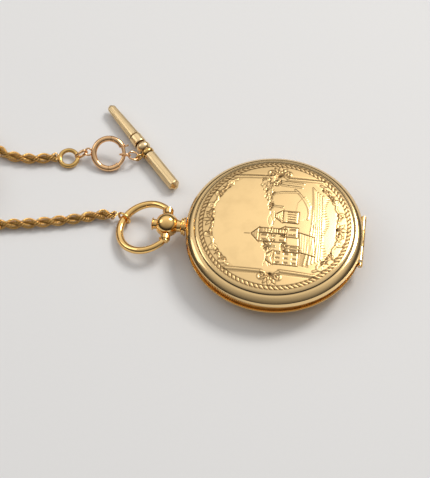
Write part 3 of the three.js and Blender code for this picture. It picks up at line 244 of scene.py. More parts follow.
@dataclass(frozen=True)
class PlainFinish:
    """A finish that isn't metal: enamel, paint or glass."""

    name: str
    color: Point
    roughness: float = 0.15
    glass: bool = False

    @cache
    def material(self) -> bpy.types.Material:
        """Builds the material once and returns it."""
        made, g, shader = Graph.material(self.name)
        g.feed(shader, {"Roughness": self.roughness, "Base Color": (*self.color, 1.0)})
        if self.glass:
            g.feed(shader, {"Transmission Weight": 1.0, "IOR": 1.45})
            return made
        amounts = {"Roughness": self.roughness, "Spread": 0.06}
        wear = g.add("ShaderNodeGroup", amounts, node_tree=wear_group())
        g.feed(shader, {"Roughness": wear.outputs["Roughness"]})
        return made


GOLD = MetalFinish("polished_gold", (0.94, 0.6, 0.22), (0.42, 0.22, 0.07), 0.06, 0.05, 0.02, 0.1)
# The case middle's darker gold is painted shade between the reeds.
BAND_SHADE_GOLD = MetalFinish("band_gold_painted_shade", (0.55, 0.33, 0.11), (0.2, 0.1, 0.03), 0.22, 0.08, 0.03, 0.3)
JUMP_GOLD = MetalFinish("dark_gold", (0.78, 0.5, 0.17), (0.25, 0.13, 0.04), 0.16, 0.1, 0.03, 0.35)
# The engraved lid's shade colour is painted shade in its cuts, beside its ridges, on walls, roofs and
# windows, and on its rim.
LID_GOLD = MetalFinish(
    "engraved_gold", (0.95, 0.67, 0.32), (0.1, 0.04, 0.008), 0.1, 0.08, 0.02, 0.1, "shade_and_oxide_mark", "brushed"
)
ROPE_GOLD = MetalFinish("chain_gold", (0.9, 0.56, 0.18), (0.3, 0.15, 0.04), 0.12, 0.12, 0.03, 0.3)
# A dark core of painted shade filling the rope's gaps; the same dark gold also marks the clasp's real seams.
SHADE_CORE_AND_SEAM_GOLD = MetalFinish("rope_shade_core_and_seam", (0.14, 0.065, 0.015), (0.05, 0.025, 0.01), 0.4, 0.1, 0.03, 0.5)
BAR_GOLD = MetalFinish(
    "bar_gold", (0.88, 0.66, 0.36), (0.12, 0.06, 0.025), 0.26, 0.1, 0.04, 0.12, "shade_and_oxide_mark"
)
ROSE_GOLD = MetalFinish("clasp_rose_gold", (0.89, 0.56, 0.29), (0.30, 0.12, 0.06), 0.12, 0.1, 0.03, 0.25)
GILT = MetalFinish("frosted_gilt", (0.83, 0.63, 0.30), (0.45, 0.30, 0.12), 0.34, 0.1, 0.06, 0.2)
STEEL = MetalFinish("worked_steel", (0.62, 0.63, 0.65), (0.30, 0.30, 0.31), 0.16, 0.08, 0.02, 0.2)
BLUED = MetalFinish("heat_blued_steel", (0.012, 0.03, 0.2), (0.03, 0.015, 0.1), 0.2, 0.06, 0.01, 0.3)
ENAMEL = PlainFinish("white_enamel", (0.86, 0.85, 0.81), 0.12)
BLACK = PlainFinish("black_enamel", (0.015, 0.015, 0.016), 0.25)
CRYSTAL = PlainFinish("watch_glass", (1.0, 1.0, 1.0), 0.01, True)


# ---- Mesh helpers


class Bench:
    """Makes meshes from profiles and paths, in millimetres, and files them with the frame."""

    WELD = 2e-7
    CREASE = math.radians(38)

    @staticmethod
    def build(
        name: str, shell: Shell, finish: MetalFinish | PlainFinish, body: Body, slot: str, *nodes: str
    ) -> bpy.types.Object:
        """Makes a piece and files it.

        Args:
            name: the piece's name.
            shell: its points in millimetres and its faces.
            finish: the finish whose material it takes.
            body, slot, nodes: as in file; slot is not used.

        Returns:
            The new object, smooth shaded with sharp creases kept.
        """
        verts, faces = shell
        mesh = bpy.data.meshes.new(name)
        mesh.from_pydata((np.asarray(verts, float) * MM).tolist(), [], faces)
        mesh.validate()
        bm = bmesh.new()
        bm.from_mesh(mesh)
        bmesh.ops.remove_doubles(bm, verts=bm.verts, dist=Bench.WELD)
        bmesh.ops.recalc_face_normals(bm, faces=bm.faces)
        bm.to_mesh(mesh)
        bm.free()
        mesh.shade_smooth()
        mesh.set_sharp_from_angle(angle=Bench.CREASE)
        mesh.materials.append(finish.material())
        piece = bpy.data.objects.new(name, mesh)
        bpy.context.collection.objects.link(piece)
        return Bench.file(piece, body, slot, *nodes)

    @staticmethod
    def ring(r: float, wire: float, place: Matrix, count: int = 72, sides: int = 18) -> Shell:
        """Makes a placed ring of round wire, with count sections of sides facets."""
        path = np.pad(polar(r, np.linspace(0, math.tau, count, endpoint=False)), ((0, 0), (0, 1)))
        return Bench.moved(Bench.swept(path, np.full(count, wire), sides, True), place)

    @staticmethod
    def turned(profile: Profile, segments: int) -> Shell:
        """Turns a [radius, height] profile about Z.

        Args:
            profile: points; a profile off the axis is closed on itself.
            segments: facets round the axis.

        Returns:
            Vertices in millimetres and faces.
        """
        count = len(profile)
        closed = min(r for r, _ in profile) > 1e-6
        verts = [
            (r * math.cos(math.tau * k / segments), r * math.sin(math.tau * k / segments), h)
            for k in range(segments)
            for r, h in profile
        ]
        rows = count if closed else count - 1
        faces = []
        for k in range(segments):
            a, b = k * count, ((k + 1) % segments) * count
            faces += [[a + i, b + i, b + (i + 1) % count, a + (i + 1) % count] for i in range(rows)]
        return verts, faces

    @staticmethod
    def swept(path: np.ndarray, radii: np.ndarray, sides: int, closed: bool) -> Shell:
        """Sweeps a round section along a path with rotation-minimising frames.

        Args:
            path: points in millimetres.
            radii: one radius for each point.
            sides: facets of the section.
            closed: whether the path is a loop.

        Returns:
            Vertices and faces, with flat caps on an open path.
        """
        count = len(path)
        ahead = np.roll(path, -1, 0) - np.roll(path, 1, 0)
        if not closed:
            ahead[0], ahead[-1] = path[1] - path[0], path[-1] - path[-2]
        ahead /= np.linalg.norm(ahead, axis=1)[:, None]
        side = np.cross(ahead[0], [0.0, 0.0, 1.0])
        if np.linalg.norm(side) < 0.1:
            side = np.cross(ahead[0], [0.0, 1.0, 0.0])
        verts = []
        for k in range(count):
            side = side - ahead[k] * float(side @ ahead[k])
            side /= np.linalg.norm(side)
            up = np.cross(ahead[k], side)
            for s in range(sides):
                a = math.tau * s / sides
                verts.append(path[k] + radii[k] * (math.cos(a) * side + math.sin(a) * up))
        faces = []
        for k in range(count if closed else count - 1):
            a, b = k * sides, ((k + 1) % count) * sides
            faces += [[a + s, a + (s + 1) % sides, b + (s + 1) % sides, b + s] for s in range(sides)]
        if not closed:
            faces.append(list(range(sides))[::-1])
            faces.append([(count - 1) * sides + s for s in range(sides)])
        return verts, faces

    @staticmethod
    def joined(*shells: Shell) -> Shell:
        """Puts several shells in one list of vertices and faces."""
        verts: list = []
        faces: list = []
        for points, polygons in shells:
            start = len(verts)
            verts += [tuple(p) for p in points]
            faces += [[start + i for i in polygon] for polygon in polygons]
        return verts, faces

    @staticmethod
    def moved(shell: Shell, matrix: Matrix) -> Shell:
        """Moves a shell by a matrix in millimetres."""
        points, faces = shell
        return [tuple(matrix @ Vector(p)) for p in points], faces

    @staticmethod
    def file(piece: bpy.types.Object, body: Body, slot: str, *nodes: str) -> bpy.types.Object:
        """Makes a piece ride on a body and hides the nodes that it stands for."""
        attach(piece, body.value)
        if nodes:
            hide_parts(*nodes)
        log.info("%s: %d faces on %s", piece.name, len(piece.data.polygons), body.value)
        return piece


def smooth_line(points: list, count: int, closed: bool = False) -> np.ndarray:
    """Resamples a Catmull-Rom line through points.

    Args:
        points: the points it passes through.
        count: how many samples.
        closed: whether the last point joins the first.

    Returns:
        Samples at equal distances.
    """
    p = np.asarray(points, float)
    if closed:
        p = np.vstack([p[-1], p, p[0], p[1]])
    else:
        p = np.vstack([2 * p[0] - p[1], p, 2 * p[-1] - p[-2]])
    fine = []
    for i in range(1, len(p) - 2):
        t = np.linspace(0, 1, 40, endpoint=False)[:, None]
        a, b, c, d = p[i - 1], p[i], p[i + 1], p[i + 2]
        fine.append(
            0.5 * (2 * b + (c - a) * t + (2 * a - 5 * b + 4 * c - d) * t**2 + (3 * b - a - 3 * c + d) * t**3)
        )
    line = np.vstack([*fine, p[-2][None]])
    reach = np.concatenate([[0], np.cumsum(np.linalg.norm(np.diff(line, axis=0), axis=1))])
    at = np.linspace(0, reach[-1], count, endpoint=not closed)
    return np.column_stack([np.interp(at, reach, line[:, k]) for k in range(p.shape[1])])


def line_length(line: np.ndarray) -> float:
    """The length of a line of points."""
    return float(np.linalg.norm(np.diff(line, axis=0), axis=1).sum())


# ---- Camera and light


@dataclass
class Studio:
    """Pale floor, soft light and the camera.

    Args:
        elevation, azimuth: the camera's direction in degrees.
        distance: from the camera to what it looks at, in metres.
        span: width of the view there, in metres.
        look_right, look_up: where the view is centred from the case axis, in metres.
    """

    elevation: float = 56.0
    azimuth: float = 6.0
    distance: float = 0.62
    span: float = 0.1159
    look_right: float = -0.01604
    look_up: float = -0.00127
    sensor: float = 36.0
    sky: float = 1.0
    floor_half: float = 1.2
    floor_color: Point = (0.765, 0.76, 0.755)

    def build(self) -> None:
        """Builds the camera, the floor, the lamps and the world."""
        self._camera()
        self._floor()
        self._lamps()
        self._world()
        bpy.context.scene.view_settings.view_transform = "Standard"

    def _camera(self) -> None:
        """Places the camera on its direction, upright."""
        el, az = math.radians(self.elevation), math.radians(self.azimuth)
        ahead = Vector((-math.sin(az) * math.cos(el), math.cos(az) * math.cos(el), -math.sin(el)))
        right = Vector((math.cos(az), math.sin(az), 0.0))
        up = right.cross(ahead)
        target = Vector((0.0, 0.0, 0.006)) + right * self.look_right + up * self.look_up
        data = bpy.data.cameras.new("camera")
        data.sensor_width = self.sensor
        data.sensor_fit = "HORIZONTAL"
        data.lens = self.sensor * self.distance / self.span
        data.clip_start, data.clip_end = 0.01, 10.0
        cam = bpy.data.objects.new("camera", data)
        turn = Matrix((right, up, -ahead)).transposed()
        cam.matrix_world = Matrix.Translation(target - ahead * self.distance) @ turn.to_4x4()
        bpy.context.collection.objects.link(cam)
        bpy.context.scene.camera = cam

    def _floor(self) -> None:
        """Builds the floor that the watch lies on."""
        half = self.floor_half
        mesh = bpy.data.meshes.new("floor")
        corners = [(-half, -half, 0), (half, -half, 0), (half, half, 0), (-half, half, 0)]
        mesh.from_pydata(corners, [], [[0, 1, 2, 3]])
        made, g, shader = Graph.material("paper_floor")
        place = g.add("ShaderNodeTexCoord").outputs["Object"]
        grain = g.add("ShaderNodeTexNoise", {"Vector": place, "Scale": 900.0}).outputs["Fac"]
        pale, dim = (*self.floor_color, 1.0), (*(0.985 * c for c in self.floor_color), 1.0)
        mix = g.add("ShaderNodeMix", {"Factor": grain, "A": pale, "B": dim}, data_type="RGBA")
        g.feed(shader, {"Roughness": 0.9, "Specular IOR Level": 0.1, "Base Color": mix.outputs["Result"]})
        mesh.materials.append(made)
        floor = bpy.data.objects.new("floor", mesh)
        bpy.context.collection.objects.link(floor)

    def _lamp(self, name: str, at: Point, size: float, power: float, color: Point = (1, 1, 1)) -> None:
        """Adds a soft square lamp that faces the watch."""
        data = bpy.data.lights.new(name, "AREA")
        data.shape = "SQUARE"
        data.size = size
        data.energy = power
        data.color = color
        lamp = bpy.data.objects.new(name, data)
        lamp.location = at
        lamp.rotation_euler = (Vector((-0.01, 0, 0)) - Vector(at)).to_track_quat("-Z", "Y").to_euler()
        bpy.context.collection.objects.link(lamp)

    def _lamps(self) -> None:
        """Places the lamps: a key at the back right and a weak one at the left."""
        self._lamp("key", (0.42, 0.5, 0.72), 0.3, 4.7, (1.0, 0.985, 0.96))
        self._lamp("left_panel", (-0.8, 0.15, 0.55), 0.4, 0.8)

    def _world(self) -> None:
        """A pale tent: brightest overhead and behind, dim low down in front."""
        world = bpy.data.worlds.new("room")
        world.use_nodes = True
        bpy.context.scene.world = world
        g = Graph(world.node_tree)
        axes = g.add("ShaderNodeSeparateXYZ", {0: g.add("ShaderNodeTexCoord").outputs["Generated"]}).outputs
        ramp = g.add("ShaderNodeValToRGB", {"Fac": axes["Z"]})
        stops = ramp.color_ramp.elements
        stops[0].position, stops[0].color = 0.02, (0.05, 0.045, 0.04, 1)
        stops[1].position, stops[1].color = 0.7, (1.02, 1.01, 1.0, 1)
        for at, shade in ((0.3, 0.16), (0.52, 0.74)):
            stops.new(at).color = (shade, 0.98 * shade, 0.96 * shade, 1)
        reach = {"From Min": -0.8, "From Max": 0.5, "To Min": 0.3, "To Max": self.sky}
        depth = g.add("ShaderNodeMapRange", {"Value": axes["Y"], **reach}).outputs[0]
        back = g.feed(g.nodes["Background"], {"Color": ramp.outputs["Color"], "Strength": depth})
        seen = g.add("ShaderNodeBackground", {"Color": (0.76, 0.755, 0.74, 1)})
        rays = g.add("ShaderNodeLightPath").outputs["Is Camera Ray"]
        mix = g.add("ShaderNodeMixShader", {"Fac": rays, 1: back.outputs[0], 2: seen.outputs[0]})
        g.link(mix.outputs[0], g.nodes["World Output"].inputs["Surface"])


# ---- The engraved lid


@dataclass
class Engraving:
    """A generic landscape inside a scrolled border, raised and cut in low relief on a round panel.

    Distances are in millimetres. The scene's up is -X, towards the pendant, and its right is +Y.

    Args:
        bar_x, bar_y: where the straight bars end and how far they lie from the middle.
        scene_r: radius of the scene between the bars.
        border_r: radius from which the panel's edge is darker.
    """

    bar_x: float = 12.2
    bar_y: float = 14.9
    scene_r: float = 17.2
    border_r: float = 19.3
    lines: list[tuple[np.ndarray, float, float, float]] = field(default_factory=list)
    fills: list[tuple[np.ndarray, float, float]] = field(default_factory=list)
    panes: list[tuple[np.ndarray, float, float]] = field(default_factory=list)

    def cut(self, points: object, width: float = 0.2, dark: float = 0.8) -> None:
        """Adds a cut line through points (x, y)."""
        # A cut is sunk and painted dark: painted shade in the cut line.
        self.lines.append((np.asarray(points, float), 1.15 * width, -0.45 * width, min(1.0, 1.25 * dark)))

    def ridge(self, points: object, width: float = 0.3, dark: float = 0.75) -> None:
        """Adds a raised line with a band of painted shade along each side."""
        self.lines.append((np.asarray(points, float), width, 0.55 * width, min(1.0, 1.2 * dark)))

    def fill(self, corners: object, tone: float, rise: float = 0.0) -> None:
        """Sets a polygon's painted shade tone and raises it; later ones cover earlier ones."""
        self.fills.append((np.asarray(corners, float), tone, rise))

    def curl(self, at: Place, r: float, start: float, turns: float) -> None:
        """Adds a volute that winds in from radius r to a ball at its middle."""
        t = np.linspace(0, 1, 30)
        a = math.radians(start) + math.tau * turns * t
        rr = r * (1 - 0.86 * t**0.9)
        self.ridge(np.add(at, polar(rr, a)), 0.27, 0.85)

    def leaf(self, at: Place, angle: float, length: float, bend: float) -> None:
        """Adds a curved pointed leaf with a cut midrib."""
        t = np.linspace(0, 1, 9)
        a = math.radians(angle) + bend * t
        rib = np.add(at, polar(length * t, a))
        half = 0.17 * length * np.sin(math.pi * np.minimum(1, t * 0.9 + 0.08))
        out = half[:, None] * np.column_stack([-np.sin(a), np.cos(a)])
        rim = np.vstack([rib + out, (rib - out)[::-1]])
        self.fill(rim, 0.02, 0.07)
        self.cut(np.vstack([rim, rim[:1]]), 0.16, 0.75)
        self.cut(rib[:7], 0.1, 0.45)

    def fan(self, at: Place, angle: float, length: float, leaves: int, spread: float) -> None:
        """Adds a shell of leaves from one root."""
        for k in range(leaves):
            side = 2 * k / (leaves - 1) - 1
            self.leaf(at, angle + 0.5 * spread * side, length * (1 - 0.3 * abs(side)), 0.45 * side)

    def wall(self, low: Place, high: Place, tone: float, rows: int, cols: int) -> None:
        """Adds a wall between corners (x nearest the sky, y) and (x at the ground, y) with windows."""
        (x0, y0), (x1, y1) = low, high
        corners = [(x0, y0), (x1, y0), (x1, y1), (x0, y1), (x0, y0)]
        # The wall's tone is painted shade on its face.
        self.fill(corners[:4], tone, 0.05)
        self.cut(corners, 0.17, 0.85)
        for i in range(rows):
            for j in range(cols):
                wx = x0 + (x1 - x0) * (i + 0.55) / rows
                wy = y0 + (y1 - y0) * (j + 0.5) / cols
                tall, wide = 0.27 * (x1 - x0) / rows, 0.2 * (y1 - y0) / cols
                pane = [(wx + s * tall, wy + t * wide) for s, t in ((-1, -1), (1, -1), (1, 1), (-1, 1))]
                # Each window is a sunk pane of painted shade.
                self.panes.append((np.asarray(pane), 0.75, -0.05))

    def roof(self, corners: object, tone: float, rows: int) -> None:
        """Adds a four-cornered roof, eaves first, with courses along it."""
        c = np.asarray(corners, float)
        # The roof's tone is painted shade on its slope.
        self.fill(c, tone, 0.08)
        self.cut(np.vstack([c, c[:1]]), 0.18, 0.9)
        for k in range(1, rows):
            t = k / rows
            self.cut([c[0] + (c[3] - c[0]) * t, c[1] + (c[2] - c[1]) * t], 0.09, 0.5)

    def tree(self, root: Place, height: float, lean: float, crown: float, seed: int) -> None:
        """Adds a tree with a leaning trunk and a crown of short leafy strokes."""
        rng = np.random.default_rng(seed)
        x, y = root
        top = (x - height, y + lean)
        self.ridge([(x, y), (x - 0.5 * height, y + 0.25 * lean), top], 0.24, 0.8)
        for _ in range(40):
            a, r = rng.uniform(0, math.tau), crown * math.sqrt(rng.uniform(0.02, 1))
            cx, cy = top[0] + 0.7 * r * math.cos(a), top[1] + 1.2 * r * math.sin(a)
            size = rng.uniform(0.22, 0.45)
            t = np.linspace(-1.3, 1.3, 5)
            stroke = np.column_stack([cx - size * np.cos(t), cy + size * np.sin(t)])
            self.cut(stroke, 0.13, rng.uniform(0.35, 0.8))

    def hatch(self, low: Place, high: Place, count: int, slope: float) -> None:
        """Fills a box with slanting shade lines."""
        for k in range(count):
            y = low[1] + (high[1] - low[1]) * k / count
            self.cut([(high[0], y), (low[0], y + slope)], 0.12, 0.6)

    def compose(self) -> None:
        """Lays out the landscape and then the border over it."""
        for lay_out in (self._ground, self._houses, self._trees, self._bars, self._scrolls, self._ring):
            lay_out()

    def _ground(self) -> None:
        """The meadow, the road, the river and the far hills."""
        meadow = [(-1.6, 3.6), (-2.8, 7.0), (-1.4, 14.6), (14.0, 14.6), (16.0, 4.0), (16.4, -6.0)]
        self.fill([*meadow, (12.0, -13.6), (7.4, -13.6), (6.4, -4.0)], 0.1)
        hill = np.linspace(-13.6, 3.4, 24)
        for k in range(3):
            self.cut(np.column_stack([-0.4 - 0.5 * k + 0.5 * np.sin(0.9 * hill + 2 * k), hill]), 0.13, 0.4)
        for k in range(6):
            t = np.linspace(0, 1, 16)
            x = 8.6 + 0.8 * k + (1.4 - 0.2 * k) * np.sin(2.6 * t + 0.3 * k)
            self.ridge(np.column_stack([x, -12.6 + 0.5 * k + (25.4 - k) * t]), 0.22 + 0.03 * (k % 2), 0.5)
        for k in range(30):
            y = -11.6 + 0.8 * k
            x = 12.9 + 0.6 * math.sin(0.5 * k)
            self.cut([(x, y), (x + 0.8, y + 0.35)], 0.13, 0.7)
        self.fill([(6.2, 0.8), (8.6, 2.4), (9.2, 6.6), (7.4, 9.6), (5.6, 7.2), (5.2, 3.4)], 0.0, 0.06)
        t = np.linspace(0.0, 1.9, 12)
        bend = np.column_stack([4.6 + 4.3 * np.sin(t), 11.4 - 9.6 * np.sin(0.5 * t) ** 1.2 - 1.0 * t])
        self.ridge(bend, 0.26, 0.7)

    def _houses(self) -> None:
        """A square tower, a hall beside it, a long house in front and a garden wall."""
        self.wall((2.0, 0.2), (6.2, 4.0), 0.04, 1, 5)
        self.roof([(2.0, 4.3), (2.0, 0.0), (-0.1, 1.6), (-0.1, 2.7)], 0.35, 4)
        self.wall((-3.9, -6.3), (3.4, -3.6), 0.06, 3, 2)
        # This wall's 0.42 tone is painted shade, a side wall in shadow.
        self.wall((-3.9, -3.6), (3.4, -2.0), 0.42, 0, 0)
        for k in range(9):
            self.cut([(-3.5 + 0.78 * k, -3.5), (-3.5 + 0.78 * k, -2.1)], 0.1, 0.5)
        self.roof([(-3.9, -1.8), (-3.9, -6.6), (-6.0, -4.2), (-6.0, -3.9)], 0.4, 3)
        self.cut([(-6.0, -4.05), (-7.9, -4.05)], 0.13, 0.7)
        self.wall((2.9, -4.4), (6.4, -1.2), 0.05, 1, 2)
        self.roof([(2.9, -1.0), (2.9, -4.6), (1.2, -3.6), (1.2, -2.1)], 0.4, 3)
        self.wall((0.4, -13.0), (7.0, -9.0), 0.03, 3, 3)
        self.roof([(0.4, -8.7), (0.4, -13.2), (-1.5, -12.0), (-1.5, -9.9)], 0.38, 4)
        self.wall((3.4, -9.0), (7.0, -7.0), 0.3, 1, 2)
        yard = [(6.6, -2.6), (10.8, -3.6), (11.4, -9.6), (7.2, -8.8)]
        self.fill(yard, 0.0, 0.1)
        self.cut([*yard, yard[0]], 0.18, 0.8)
        for k in range(1, 6):
            self.cut([(6.6 + 0.1 * k + 0.7 * k * 0.9, -2.8), (7.0 + 0.7 * k * 0.9, -8.9)], 0.09, 0.3)
        self.hatch((7.4, -13.0), (9.8, -9.4), 12, 0.3)

    def _trees(self) -> None:
        """Tall trees at the right of the scene and bushes by the houses."""
        tall = (((6.4, 12.4), 9.4, 0.9, 2.5), ((5.6, 10.6), 7.6, -1.2, 1.9), ((6.8, 13.8), 7.0, 0.2, 1.5))
        low = (((7.8, -7.9), 4.6, 0.3, 1.2), ((1.8, 5.2), 3.2, 0.2, 1.1), ((0.6, -7.6), 2.2, 0.1, 1.3))
        for k, sizes in enumerate(tall + low):
            self.tree(*sizes, 2 * k + 3)

    def _bars(self) -> None:
        """Straight moulded bars above and below the scene, with volutes at their inner ends."""
        for side in (1, -1):
            y = side * self.bar_y
            for x0, x1 in ((-self.bar_x, -2.4), (2.4, self.bar_x)):
                self.ridge([(x0, y), (x1, y + side * 0.35)], 0.36, 0.9)
                self.cut([(x0 + 0.4, y + side * 0.95), (x1, y + side * 1.15)], 0.16, 0.5)
            self.curl((-2.3, y + side * 1.75), 1.4, -90 * side, 1.35 * side)
            self.curl((2.3, y + side * 1.75), 1.4, -90 * side, -1.35 * side)
            self.fan((0.0, y + side * 0.9), 90 * side, 3.9, 7, 120)

    def _scrolls(self) -> None:
        """C-scrolls and leaves along the ends, outside the scene."""
        for x_side in (1, -1):
            for y_side in (1, -1):
                start = math.atan2(y_side * self.bar_y, x_side * self.bar_x)
                finish = math.atan2(y_side * 2.2, x_side * 17.0)
                t = np.linspace(0, 1, 40)
                a = start + (finish - start) * t
                r = 18.0 - 1.1 * t + 0.5 * np.abs(np.sin(3 * math.pi * t))
                self.ridge(polar(r, a), 0.3, 0.85)
                for k, share in enumerate((0.16, 0.5, 0.84)):
                    at = start + (finish - start) * share
                    way, angle = x_side * y_side * (1 if k % 2 else -1), math.degrees(at)
                    self.curl((18.3 * math.cos(at), 18.3 * math.sin(at)), 1.0, angle + 180, 1.25 * way)
                    root = (17.3 * math.cos(at + 0.05), 17.3 * math.sin(at + 0.05))
                    self.leaf(root, angle + 50 * way, 2.6, 0.8 * way)
                    self.leaf(root, angle + 95 * way, 2.0, -0.9 * way)
            self.fan((x_side * 16.6, 0.0), 90 - 90 * x_side, 3.3, 5, 130)

    def _ring(self) -> None:
        """A chased rope border at the panel's edge."""
        for k in range(96):
            a = math.tau * k / 96
            t = np.linspace(-1, 1, 5)
            r = 19.95 + 0.42 * t
            turn = a + 0.02 * t
            self.cut(polar(r, turn), 0.24, 0.9)
        ring = np.linspace(0, math.tau, 181)
        for r, width in ((19.42, 0.16), (20.45, 0.16)):
            self.cut(polar(r, ring), width, 0.8)

    @staticmethod
    def _within(x: np.ndarray, y: np.ndarray, corners: np.ndarray) -> np.ndarray:
        """Which points lie inside a polygon."""
        inside = np.zeros(len(x), bool)
        for (ax, ay), (bx, by) in zip(corners, np.roll(corners, -1, 0), strict=True):
            if ay == by:
                continue
            inside ^= ((ay > y) != (by > y)) & (x < (bx - ax) * (y - ay) / (by - ay) + ax)
        return inside

    @staticmethod
    def _distance(x: np.ndarray, y: np.ndarray, points: np.ndarray) -> np.ndarray:
        """Distance from each place to a line of points."""
        best = np.full(len(x), 1e9)
        for (ax, ay), (bx, by) in zip(points[:-1], points[1:], strict=True):
            dx, dy = bx - ax, by - ay
            t = np.clip(((x - ax) * dx + (y - ay) * dy) / (dx * dx + dy * dy + 1e-12), 0, 1)
            best = np.minimum(best, np.hypot(x - ax - t * dx, y - ay - t * dy))
        return best

    def carve(self, x: np.ndarray, y: np.ndarray) -> tuple[np.ndarray, np.ndarray, np.ndarray]:
        """Works out the relief at points.

        Args:
            x, y: the points' places on the panel.

        Returns:
            Height to add, darkness from 0 to 1, and the brushed mask.
        """
        r = np.hypot(x, y)
        framed = (np.abs(y) < self.bar_y) & (r < self.scene_r)
        height = np.zeros_like(x)
        mark = np.where(framed, 0.0, 0.2 + 0.12 * (r > self.border_r))
        for corners, tone, rise in (*self.fills, *self.panes):
            seen = self._within(x, y, corners)
            height[seen], mark[seen] = rise, tone
        for points, width, rise, dark in self.lines:
            reach = 2.2 * width
            low, high = points.min(0) - reach, points.max(0) + reach
            near = np.flatnonzero((x > low[0]) & (x < high[0]) & (y > low[1]) & (y < high[1]))
            if not len(near):
                continue
            d = self._distance(x[near], y[near], points) / width
            core = np.clip(1.25 - d, 0, 1)
            core = core * core * (3 - 2 * core)
            # A cut is sunk and painted dark: painted shade.
            if rise < 0:
                height[near] += rise * core
                mark[near] = np.maximum(mark[near], dark * core)
                continue
            # A ridge clears its core and gets painted shade in a band along each side.
            edge = np.clip(1 - np.abs(d - 1.35) / 0.6, 0, 1)
            height[near] = height[near] * (1 - core) + rise * core
            mark[near] = np.maximum(mark[near] * (1 - core), dark * edge)
        return height, mark, np.where(framed, 1.0, 1.6)


